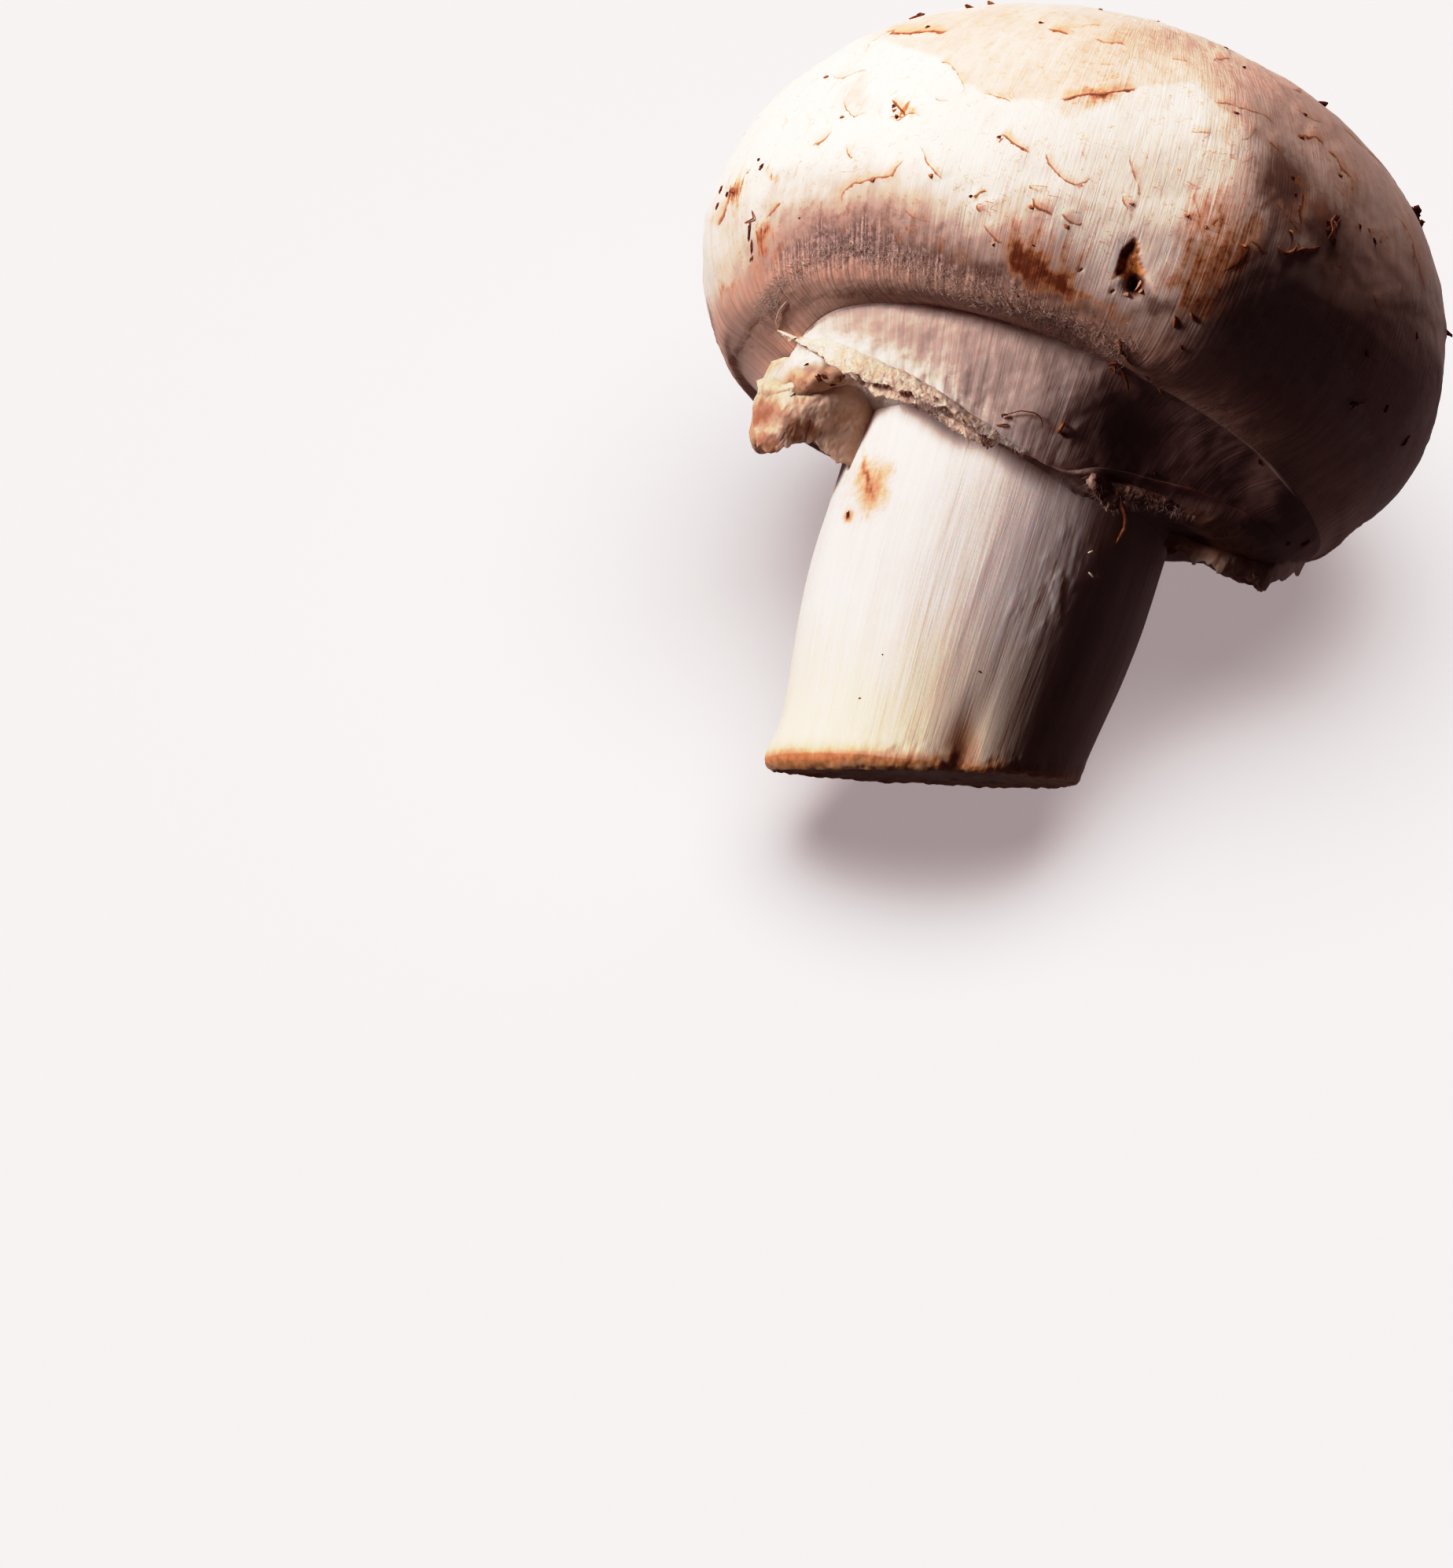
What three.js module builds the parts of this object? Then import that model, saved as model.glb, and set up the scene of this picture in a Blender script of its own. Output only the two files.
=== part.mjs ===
// A closed-cup button mushroom, picked and trimmed, lying on its side.
//
// The cap, the torn veil under it and the stalk grew as one piece, so they are one mesh.
// It is made as a lathe turned about the stalk's axis. Every ring and meridian of that
// lathe is then moved to where the grown surface is, by the outline that holds at that
// turn round the stalk. Last, the mushroom is laid down, and its two lowest places are
// pressed flat, as they are where it lies on a table.
//
// Units are millimetres. While it is shaped, the mushroom stands upright: +Y is up the
// stalk, +Z is its front and +X its right. Heights count from the ring where the veil
// meets the stalk, and a turn counts from the front towards the right.

import * as THREE from 'three';
import { mergeVertices } from 'three/addons/utils/BufferGeometryUtils.js';

// ---------------------------------------------------------------------------------------
// Driving dimensions
// ---------------------------------------------------------------------------------------

const CAP_RADIUS = 25.3;
const CAP_SHIFT = 0.4; // the cap's widest ring sits this far to the right of the axis
const CROWN_SHIFT = 0.9; // and its top this far
const CAP_HEIGHT = 13.0; // of its widest ring
const CROWN_RISE = 20.1; // from the widest ring to the top
const CROWN_FULLNESS = 2.15; // 2 would be an ellipse, more is squarer at the shoulder
const UNDER_DROP = 15.1; // the lower half would reach this far below the widest ring
const RIM_ROUND = 0.75; // how much further out than the rim's lowest line the side ends
const INROLL = { out: 0.5, down: 0.7 }; // the inrolled skin's middle, from crease to rim

const STALK_TOP_RADIUS = 11.15;
const STALK_FOOT_RADIUS = 9.75;
const STALK_TAPER_HEIGHT = -13.4; // where the stalk narrows most
const STALK_TAPER_SPAN = 8;
const STALK_BOW = 0.25; // its middle bows this far to the left
const STALK_LOBES = { count: 3, size: 0.12, turn: 40 }; // how it strays from round
const FOOT_FLARE = { turn: -88, width: 30, size: 0.55, height: -22, span: 2.5 };
const CUT_HEIGHT = -19.7; // of the cut, on the axis
const CUT_RISE_RIGHT = 0.255; // how much the slanting cut rises for each mm to the right
const CUT_FALL_FRONT = 0.225; // and falls for each mm towards the front
const CUT_ROUND = 0.35; // of its edge
const CUT_HOLLOW = 0.5; // how much its middle has shrunk in
const CUT_HOLLOW_POWER = 4;
const FOLD = { turn: 10, width: 7, depth: 0.55, top: -11, foot: -21 }; // a crease up the stalk

// The cap's scales lie in rows like shingles. Each rises over `run` towards its free lower
// edge, which stands `lift` off the skin and falls back within `step`. The edge hangs in a
// tongue, `tongue` lower at its middle than at its sides. `stray` is how far scales wander.
const SCALES = { lift: 0.5, run: 3.6, step: 1, tongue: 1.3, stray: 1.4, shift: 0.25, seed: 7 };
const BARE_TOP = { inner: 3, outer: 9 }; // the crown has no scales inside this radius
const SKIN_SET_BACK = 0.15; // what keeps the scaly cap at its stated radius

// A bruised hollow high on the cap, and a torn pit with a curled lip by the rim.
const BRUISE = { turn: 24, height: 24.5, width: 5.5, length: 5.5, depth: 0.45 };
const CRATER = {
  turn: 7, height: 10.9, width: 1.5, length: 2.1, depth: 0.9, floor: 0.8,
  lip: 0.35, lipAt: 1.3, lipWidth: 0.5,
};

// The veil's torn edges: how many teeth they have round the mushroom and how deep.
const TORN_LIP = { teeth: 31, depth: 0.2, seed: 21 };
const TORN_HEM = { teeth: 29, depth: 0.3, seed: 22 };
const FRAYED_HEM = { teeth: 30, depth: 0.3, seed: 23, stalkSide: 12, freeSide: 14 };

const AXIS_TILT = 29.4; // of the stalk's axis above the table, once it is laid down
const AXIS_ROLL = 14.4; // how far it is turned about that axis
const PRESSED = 0.15; // how deep the cap and the foot are pressed flat where they rest

const RINGS_ROUND = 92;
const SCALE_ROWS = [
  { height: 31.2, count: 6, width: 62 },
  { height: 28.4, count: 10, width: 38 },
  { height: 25.2, count: 13, width: 29 },
  { height: 21.6, count: 16, width: 24 },
  { height: 17.6, count: 18, width: 21 },
  { height: 13.4, count: 18, width: 21 },
];

// The underside, station by station round the stalk. Each pair is a radius and a height:
// the rim's lowest line, the crease where the veil starts, its belly, the torn lip, the
// notch under that lip, the skirt left below, its hem, and the tuck back up to the stalk.
// join is the height at which the surface meets the stalk.
const STATIONS = [
  { turn: -140, rim: [20.6, 5.5], crease: [19.2, 5.0], belly: [18.4, 4.5], lip: [17.2, 3.8],
    notch: [16.6, 3.7], skirt: [15.6, 3.4], hem: [14.2, 2.8], tuck: [12.6, 2.1], join: 1.2 },
  { turn: -115, rim: [20.5, 5.6], crease: [19.6, 4.8], belly: [18.9, 3.9], lip: [18.0, 3.2],
    notch: [17.4, 3.0], skirt: [16.4, 2.8], hem: [15.1, 2.4], tuck: [13.0, 1.7], join: 0.5 },
  { turn: -92, rim: [20.8, 5.4], crease: [19.9, 4.8], belly: [19.3, 3.9], lip: [18.7, 3.2],
    notch: [18.4, 2.6], skirt: [18.1, 1.0], hem: [16.7, -1.2], tuck: [13.6, 0.4], join: 0 },
  { turn: -75, rim: [21.3, 5.1], crease: [20.4, 4.7], belly: [20.0, 4.5], lip: [19.5, 4.0],
    notch: [18.9, 3.3], skirt: [18.1, 1.8], hem: [16.5, -0.4], tuck: [13.6, 0.8], join: 0.1 },
  { turn: -60, rim: [21.8, 5.2], crease: [20.3, 4.8], belly: [19.9, 4.5], lip: [19.2, 3.9],
    notch: [18.2, 3.8], skirt: [17.4, 2.5], hem: [15.6, 0.5], tuck: [13.2, 1.0], join: 0.4 },
  { turn: -45, rim: [22.2, 5.3], crease: [19.7, 5.1], belly: [18.8, 3.9], lip: [17.4, 1.8],
    notch: [15.6, 2.6], skirt: [13.6, 2.1], hem: [12.2, 1.5], tuck: [11.6, 1.0], join: 0.5 },
  { turn: -30, rim: [22.4, 5.5], crease: [18.8, 6.0], belly: [18.0, 4.2], lip: [15.9, 0.6],
    notch: [13.6, 1.7], skirt: [11.9, 1.4], hem: [11.4, 0.9], tuck: [11.3, 0.5], join: 0 },
  { turn: -15, rim: [22.5, 5.5], crease: [17.9, 6.1], belly: [17.2, 4.1], lip: [14.8, -0.2],
    notch: [12.9, 0.9], skirt: [11.7, 0.7], hem: [11.4, 0.3], tuck: [11.3, 0], join: -0.4 },
  { turn: 0, rim: [22.5, 5.5], crease: [17.4, 5.9], belly: [16.8, 3.7], lip: [14.1, -0.7],
    notch: [12.5, 0.4], skirt: [11.6, 0.2], hem: [11.4, -0.1], tuck: [11.3, -0.4], join: -0.8 },
  { turn: 12, rim: [22.4, 5.4], crease: [17.5, 5.6], belly: [16.5, 3.6], lip: [13.6, -0.8],
    notch: [12.3, 0.2], skirt: [11.6, 0], hem: [11.4, -0.3], tuck: [11.3, -0.6], join: -1 },
  { turn: 22, rim: [22.3, 5.4], crease: [17.9, 5.2], belly: [15.9, 3.1], lip: [14.3, -0.4],
    notch: [12.9, -0.5], skirt: [12.0, -0.8], hem: [11.6, -1.1], tuck: [11.3, -1.2], join: -1.5 },
  { turn: 33, rim: [22.2, 5.3], crease: [18.6, 4.7], belly: [15.9, 2.9], lip: [14.8, 0.1],
    notch: [13.9, -0.4], skirt: [13.0, -0.9], hem: [12.4, -1.2], tuck: [11.7, -0.7], join: -1 },
  { turn: 47, rim: [21.8, 5.2], crease: [19.3, 4.1], belly: [17.4, 2.7], lip: [15.9, 0.6],
    notch: [15.3, 0.1], skirt: [14.7, -0.3], hem: [13.6, -0.6], tuck: [12.2, -0.3], join: -0.6 },
  { turn: 62, rim: [21.4, 4.9], crease: [20.0, 3.4], belly: [19.1, 2.3], lip: [18.3, 1.3],
    notch: [18.1, 0.9], skirt: [17.2, 0.1], hem: [15.6, -0.3], tuck: [13.0, -0.2], join: -0.5 },
  { turn: 80, rim: [21.9, 4.9], crease: [20.4, 3.1], belly: [19.8, 2.2], lip: [19.1, 1.6],
    notch: [18.8, 1.1], skirt: [18.2, 0.3], hem: [16.5, -0.4], tuck: [13.6, -0.2], join: -0.6 },
  { turn: 95, rim: [22.2, 4.9], crease: [20.6, 3.4], belly: [19.7, 2.5], lip: [19.0, 1.8],
    notch: [18.7, 1.5], skirt: [18.2, 0.6], hem: [17.2, 0.2], tuck: [13.6, 0.4], join: -0.3 },
  { turn: 115, rim: [22.2, 4.9], crease: [20.3, 4.2], belly: [19.2, 3.5], lip: [18.0, 3.1],
    notch: [17.5, 2.9], skirt: [16.4, 2.7], hem: [15.0, 2.4], tuck: [13.0, 1.9], join: 0.7 },
  { turn: 140, rim: [21.2, 5.3], crease: [19.4, 5.0], belly: [18.5, 4.4], lip: [17.2, 3.7],
    notch: [16.6, 3.6], skirt: [15.6, 3.3], hem: [14.2, 2.8], tuck: [12.6, 2.1], join: 1.2 },
  { turn: 180, rim: [21.0, 5.3], crease: [19.2, 5.2], belly: [18.4, 4.2], lip: [16.7, 2.6],
    notch: [16.0, 3.2], skirt: [15.2, 3.0], hem: [14.0, 2.6], tuck: [12.6, 2.0], join: 1.2 },
];

// Rows of the lathe in each stretch of the outline, from the cut's centre to the crown.
const CUT_ROWS = 4;
const STALK_ROWS = 7;
const UNDERSIDE_ROWS = [1, 1, 1, 1, 1, 2, 2, 2, 2, 1];
const SIDE_ROWS = 6;
const CROWN_ROWS = 22;
const SIDE_BLEND = 2; // rows over which the rim becomes the cap's side

// ---------------------------------------------------------------------------------------
// Helpers
// ---------------------------------------------------------------------------------------

const { degToRad, lerp, smoothstep } = THREE.MathUtils;
const FULL_TURN = 360;

/** The difference between two turns, from -180 to 180 degrees. */
function turnBetween(turn, from) {
  return THREE.MathUtils.euclideanModulo(turn - from + FULL_TURN / 2, FULL_TURN) - FULL_TURN / 2;
}

/** A bell of height 1 at 0 that is nearly gone at 2. */
function bell(x) {
  return Math.exp(-x * x);
}

/** A repeatable draw from 0 to 1 for each pair of whole numbers. */
function draw(seed, index) {
  const wave = Math.sin(seed * 127.1 + index * 311.7) * 43758.5453;
  return wave - Math.floor(wave);
}

/** How far a torn edge strays at a turn, each way from its mean line. */
function torn(turn, { teeth, depth, seed }) {
  const place = THREE.MathUtils.euclideanModulo(turn, FULL_TURN) / FULL_TURN * teeth;
  const tooth = Math.floor(place);
  const a = draw(seed, tooth % teeth);
  const b = draw(seed, (tooth + 1) % teeth);
  return depth * (2 * lerp(a, b, smoothstep(place - tooth, 0, 1)) - 1);
}

// ---------------------------------------------------------------------------------------
// The outline at any turn
// ---------------------------------------------------------------------------------------

/** Radius and height pairs at a turn, by a smooth cubic between the stations. */
function stationAt(turn) {
  const count = STATIONS.length;
  const at = (i) => STATIONS[THREE.MathUtils.euclideanModulo(i, count)];
  let i = 0;
  while (turnBetween(turn, at(i).turn) < 0 || turnBetween(turn, at(i + 1).turn) >= 0) i += 1;
  const gap = (k) => THREE.MathUtils.euclideanModulo(at(k + 1).turn - at(k).turn, FULL_TURN);
  const span = gap(i);
  const f = turnBetween(turn, at(i).turn) / span;
  const blend = (before, a, b, after) => {
    const slopeA = (b - before) / (gap(i - 1) + span) * span;
    const slopeB = (after - a) / (span + gap(i + 1)) * span;
    const bend = a - b;
    return a + f * (slopeA + f * (-3 * bend - 2 * slopeA - slopeB + f * (2 * bend + slopeA + slopeB)));
  };
  const value = (read) => blend(read(at(i - 1)), read(at(i)), read(at(i + 1)), read(at(i + 2)));
  const pair = (name) => new THREE.Vector2(value((s) => s[name][0]), value((s) => s[name][1]));
  return {
    rim: pair('rim'), crease: pair('crease'), belly: pair('belly'), lip: pair('lip'),
    notch: pair('notch'), skirt: pair('skirt'), hem: pair('hem'), tuck: pair('tuck'),
    join: value((s) => s.join),
  };
}

/** The stalk's radius at a height and turn. */
function stalkRadius(height, turn) {
  const low = STALK_TAPER_HEIGHT - STALK_TAPER_SPAN;
  const high = STALK_TAPER_HEIGHT + STALK_TAPER_SPAN;
  const radius = lerp(STALK_FOOT_RADIUS, STALK_TOP_RADIUS, smoothstep(height, low, high));
  const across = turnBetween(turn, FOLD.turn) / FOLD.width;
  const fold = FOLD.depth * bell(across) * (1 - smoothstep(height, FOLD.foot, FOLD.top));
  const bow = STALK_BOW * Math.sin(degToRad(turn)) * bell((height - STALK_TAPER_HEIGHT) / STALK_TAPER_SPAN);
  const flareAcross = bell(turnBetween(turn, FOOT_FLARE.turn) / FOOT_FLARE.width);
  const flare = FOOT_FLARE.size * flareAcross * bell((height - FOOT_FLARE.height) / FOOT_FLARE.span);
  const lobes = STALK_LOBES.size * Math.cos(degToRad(STALK_LOBES.count * (turn - STALK_LOBES.turn)));
  return radius + lobes + flare - fold - bow;
}

/** The height of the slanting cut under a point at this radius and turn. */
function cutHeight(radius, turn) {
  const right = radius * Math.sin(degToRad(turn));
  const front = radius * Math.cos(degToRad(turn));
  return CUT_HEIGHT + CUT_RISE_RIGHT * right - CUT_FALL_FRONT * front;
}

/** A point of the cap's own dome: `rise` is -90 under it, 0 at the widest ring, 90 at the top. */
function domePoint(rise) {
  const up = Math.sin(degToRad(rise));
  const out = Math.cos(degToRad(rise));
  if (rise < 0) return new THREE.Vector2(CAP_RADIUS * out, CAP_HEIGHT + UNDER_DROP * up);
  const share = 2 / CROWN_FULLNESS;
  return new THREE.Vector2(CAP_RADIUS * Math.pow(out, share), CAP_HEIGHT + CROWN_RISE * Math.pow(up, share));
}

/** The points that the underside's curve goes through, from the stalk out to the cap's side. */
function undersidePoints(turn) {
  const s = stationAt(turn);
  const free = smoothstep(s.hem.x, FRAYED_HEM.stalkSide, FRAYED_HEM.freeSide);
  s.lip.y += torn(turn, TORN_LIP);
  s.hem.y += torn(turn, TORN_HEM);
  s.hem.x += torn(turn, FRAYED_HEM) * free;
  const join = new THREE.Vector2(stalkRadius(s.join, turn), s.join);
  const under = new THREE.Vector2(
    lerp(s.crease.x, s.rim.x, INROLL.out),
    lerp(s.crease.y, s.rim.y, INROLL.down),
  );
  return [join, s.tuck, s.hem, s.skirt, s.notch, s.lip, s.belly, s.crease, under, s.rim];
}

/** The whole outline at a turn, from the centre of the cut up to the top of the crown. */
function outlineAt(turn) {
  const points = [];
  const foot = stalkRadius(cutHeight(STALK_FOOT_RADIUS, turn), turn);
  for (let i = 0; i < CUT_ROWS; i += 1) {
    const radius = (foot - CUT_ROUND) * i / (CUT_ROWS - 1);
    const hollow = CUT_HOLLOW * (1 - Math.pow(radius / foot, CUT_HOLLOW_POWER));
    points.push(new THREE.Vector2(radius, cutHeight(radius, turn) + hollow));
  }

  const underside = undersidePoints(turn);
  const low = cutHeight(foot, turn) + CUT_ROUND;
  for (let i = 0; i < STALK_ROWS; i += 1) {
    const height = lerp(low, underside[0].y, i / STALK_ROWS);
    points.push(new THREE.Vector2(stalkRadius(height, turn), height));
  }

  const sideEnd = new THREE.Vector2(underside.at(-1).x + RIM_ROUND, 0);
  const lowest = -THREE.MathUtils.radToDeg(Math.acos(Math.min(1, sideEnd.x / CAP_RADIUS)));
  const curve = new THREE.SplineCurve([...underside, domePoint(lowest), domePoint(lowest / 2)]);
  const pieces = curve.points.length - 1;
  UNDERSIDE_ROWS.forEach((rows, piece) => {
    for (let i = 0; i < rows; i += 1) points.push(curve.getPoint((piece + i / rows) / pieces));
  });

  for (let i = 0; i < SIDE_ROWS; i += 1) points.push(domePoint(lerp(lowest, 0, i / SIDE_ROWS)));
  for (let i = 0; i <= CROWN_ROWS; i += 1) points.push(domePoint(lerp(0, 90, i / CROWN_ROWS)));
  return points;
}

// ---------------------------------------------------------------------------------------
// Relief on the cap
// ---------------------------------------------------------------------------------------

/** How far the scales lift the skin, which is most at each scale's free lower edge. */
function scaleRelief(turn, height) {
  let lift = 0;
  SCALE_ROWS.forEach((row, r) => {
    const pitch = FULL_TURN / row.count;
    const stagger = draw(SCALES.seed, r) * pitch;
    const index = Math.round((turn - stagger) / pitch);
    for (const k of [index - 1, index, index + 1]) {
      const chance = draw(SCALES.seed + r, THREE.MathUtils.euclideanModulo(k, row.count));
      const middle = stagger + (k + SCALES.shift * (2 * chance - 1)) * pitch;
      const aside = Math.abs(turnBetween(turn, middle)) / (row.width / 2);
      const edge = row.height + SCALES.stray * (chance - 0.5) + SCALES.tongue * aside * aside;
      const above = height - edge;
      const stepUp = smoothstep(above, -SCALES.step / 2, SCALES.step / 2);
      const runOut = 1 - smoothstep(above, SCALES.step / 2, SCALES.run);
      const sides = 1 - smoothstep(aside, 0.6, 1);
      lift = Math.max(lift, (1 + chance) / 2 * stepUp * runOut * sides);
    }
  });
  return SCALES.lift * lift - SKIN_SET_BACK;
}

/** How far a place on the cap lies from a blemish's middle, in the blemish's own half sizes. */
function awayFrom(turn, height, { turn: middle, height: level, width, length }) {
  const aside = degToRad(turnBetween(turn, middle)) * CAP_RADIUS;
  return Math.hypot(aside / width, (height - level) / length);
}

/** How far the skin stands out from the plain dome, or in where it is below zero. */
function capRelief(turn, height) {
  const fromCrater = awayFrom(turn, height, CRATER);
  const crater = CRATER.lip * bell((fromCrater - CRATER.lipAt) / CRATER.lipWidth)
    - CRATER.depth * bell(fromCrater / CRATER.floor);
  const bruise = -BRUISE.depth * bell(awayFrom(turn, height, BRUISE));
  return scaleRelief(turn, height) + crater + bruise;
}

// ---------------------------------------------------------------------------------------
// The mushroom
// ---------------------------------------------------------------------------------------

/** Turns the outline round the stalk and moves each of its points to the grown surface. */
function growMushroom() {
  const outline = outlineAt(0);
  const rows = outline.length;
  const domeStart = rows - CROWN_ROWS - SIDE_ROWS - 1;
  const lathe = new THREE.LatheGeometry(outline, RINGS_ROUND);
  const place = lathe.getAttribute('position');

  for (let ring = 0; ring <= RINGS_ROUND; ring += 1) {
    const turn = ring % RINGS_ROUND * FULL_TURN / RINGS_ROUND;
    const angle = degToRad(turn);
    const points = outlineAt(turn);
    points.forEach((point, row) => {
      const onCap = smoothstep(row, domeStart - SIDE_BLEND, domeStart + SIDE_BLEND);
      const offTop = smoothstep(point.x, BARE_TOP.inner, BARE_TOP.outer);
      const stand = onCap * offTop * capRelief(turn, point.y);
      const rise = Math.max(0, (point.y - CAP_HEIGHT) / CROWN_RISE);
      const radius = point.x + stand * Math.sqrt(Math.max(0, 1 - rise * rise));
      const height = point.y + stand * rise;
      const right = radius * Math.sin(angle) + onCap * lerp(CAP_SHIFT, CROWN_SHIFT, rise);
      place.setXYZ(ring * rows + row, right, height, radius * Math.cos(angle));
    });
  }
  lathe.deleteAttribute('normal');
  lathe.deleteAttribute('uv');
  return mergeVertices(lathe);
}

/** Lays the mushroom on its side, presses its resting places flat and centres it on the table. */
function layDown(geometry) {
  geometry.rotateY(degToRad(AXIS_ROLL));
  geometry.rotateX(degToRad(AXIS_TILT));
  const place = geometry.getAttribute('position');
  let [capLow, footLow] = [Infinity, Infinity];
  for (let i = 0; i < place.count; i += 1) {
    if (place.getY(i) > 0) capLow = Math.min(capLow, place.getZ(i));
    else footLow = Math.min(footLow, place.getZ(i));
  }
  const table = Math.max(capLow, footLow) + PRESSED;
  for (let i = 0; i < place.count; i += 1) place.setZ(i, Math.max(place.getZ(i), table));
  geometry.computeBoundingBox();
  const { min, max } = geometry.boundingBox;
  return geometry.translate(-(min.x + max.x) / 2, -(min.y + max.y) / 2, -min.z);
}

const skin = new THREE.MeshStandardMaterial({ color: 0xe6d8c6, roughness: 0.72, metalness: 0 });
const mushroom = new THREE.Mesh(layDown(growMushroom()), skin);
mushroom.name = 'button_mushroom';

const group = new THREE.Group();
group.add(mushroom);

export default group;
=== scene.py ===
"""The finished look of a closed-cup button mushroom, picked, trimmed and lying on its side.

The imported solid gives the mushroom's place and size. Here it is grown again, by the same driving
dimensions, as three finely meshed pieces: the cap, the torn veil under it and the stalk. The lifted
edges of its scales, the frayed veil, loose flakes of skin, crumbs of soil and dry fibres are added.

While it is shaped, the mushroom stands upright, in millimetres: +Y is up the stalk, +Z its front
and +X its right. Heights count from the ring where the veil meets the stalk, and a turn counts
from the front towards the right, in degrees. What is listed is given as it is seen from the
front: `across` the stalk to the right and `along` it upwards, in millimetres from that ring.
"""
import logging
import math
import random
from dataclasses import dataclass, field
from enum import Enum

import bmesh
import bpy
import numpy as np
from bpy.types import Mesh, NodeSocket, Object
from mathutils import Matrix, Vector, noise
from mathutils.bvhtree import BVHTree
from numpy import ndarray as Array


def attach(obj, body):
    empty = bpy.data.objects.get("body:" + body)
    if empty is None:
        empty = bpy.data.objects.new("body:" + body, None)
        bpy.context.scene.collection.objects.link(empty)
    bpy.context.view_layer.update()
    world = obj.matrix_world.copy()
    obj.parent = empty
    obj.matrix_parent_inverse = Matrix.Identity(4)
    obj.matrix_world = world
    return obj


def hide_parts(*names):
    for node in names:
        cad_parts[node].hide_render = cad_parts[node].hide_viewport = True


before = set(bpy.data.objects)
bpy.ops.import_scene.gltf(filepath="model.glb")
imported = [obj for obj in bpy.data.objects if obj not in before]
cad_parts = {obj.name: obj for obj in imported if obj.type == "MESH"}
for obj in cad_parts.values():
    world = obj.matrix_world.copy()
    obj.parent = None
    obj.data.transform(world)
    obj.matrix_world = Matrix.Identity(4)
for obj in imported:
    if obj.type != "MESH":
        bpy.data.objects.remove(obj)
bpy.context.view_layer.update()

log = logging.getLogger("mushroom")

NODE = "button_mushroom"
BODY = "root"
MM = 0.001
FULL_TURN = 360.0
SEAM = 1e-7  # metres within which the points of a seam or a pole are one


# --- Small sums ---

def smoothstep(x: Array, low: float, high: float) -> Array:
    """Goes smoothly from 0 at low to 1 at high."""
    share = np.clip((np.asarray(x, float) - low) / (high - low), 0, 1)
    return share * share * (3 - 2 * share)


def bell(x: Array) -> Array:
    """A bell of height 1 at 0 that is nearly gone at 2."""
    return np.exp(-np.square(x))


def joined(*numbers: Array) -> Array:
    """Puts numbers side by side along a new last axis."""
    return np.stack(numbers, axis=-1)


def oval(seen: Array, across: float, along: float, wide: float, high: float) -> Array:
    """A bell over an oval patch, by its middle and its half sizes as they are seen."""
    return bell(np.hypot((seen[:, 0] - across) / wide, (seen[:, 1] - along) / high))


def draw(seed: float, index: Array) -> Array:
    """A repeatable draw from 0 to 1 for each pair of whole numbers."""
    wave = np.sin(seed * 127.1 + np.asarray(index, float) * 311.7) * 43758.5453
    return wave - np.floor(wave)


def turn_between(turn: Array, start: float) -> Array:
    """The difference between two turns, from -180 to 180 degrees."""
    return (np.asarray(turn, float) - start + FULL_TURN / 2) % FULL_TURN - FULL_TURN / 2


def grain(points: Array, size: float, octaves: int = 3) -> Array:
    """Fractal noise, about -1 to 1.

    Args:
        points: Rows of x, y and z.
        size: How large its largest lumps are, in the points' own unit.
        octaves: How many times a finer noise is added.

    Returns:
        One number for each point.
    """
    scaled = points / size
    return np.array([noise.fractal(p, 0.9, 2.1, octaves) for p in scaled])


# --- Where the mushroom lies, and where it is seen from ---

@dataclass(frozen=True)
class Lay:
    """How the upright mushroom is laid down on the table."""

    tilt: float = 29.4  # of the stalk's axis above the table
    roll: float = 14.4  # how far it is turned about that axis
    ring: tuple = (-0.47235, -4.70172, 16.66306)  # the veil ring's middle, once it lies, in mm

    def turned(self) -> Matrix:
        """The rotation from upright to lying."""
        return Matrix.Rotation(math.radians(self.tilt), 3, "X") @ Matrix.Rotation(
            math.radians(self.roll), 3, "Y"
        )

    def down(self, upright: Array) -> Array:
        """Upright millimetres to metres in the row frame."""
        return (upright @ np.array(self.turned()).T + np.array(self.ring)) * MM

    def direction(self, upright: tuple) -> Vector:
        """An upright direction as it points once the mushroom lies."""
        return self.turned() @ Vector(upright)


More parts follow.
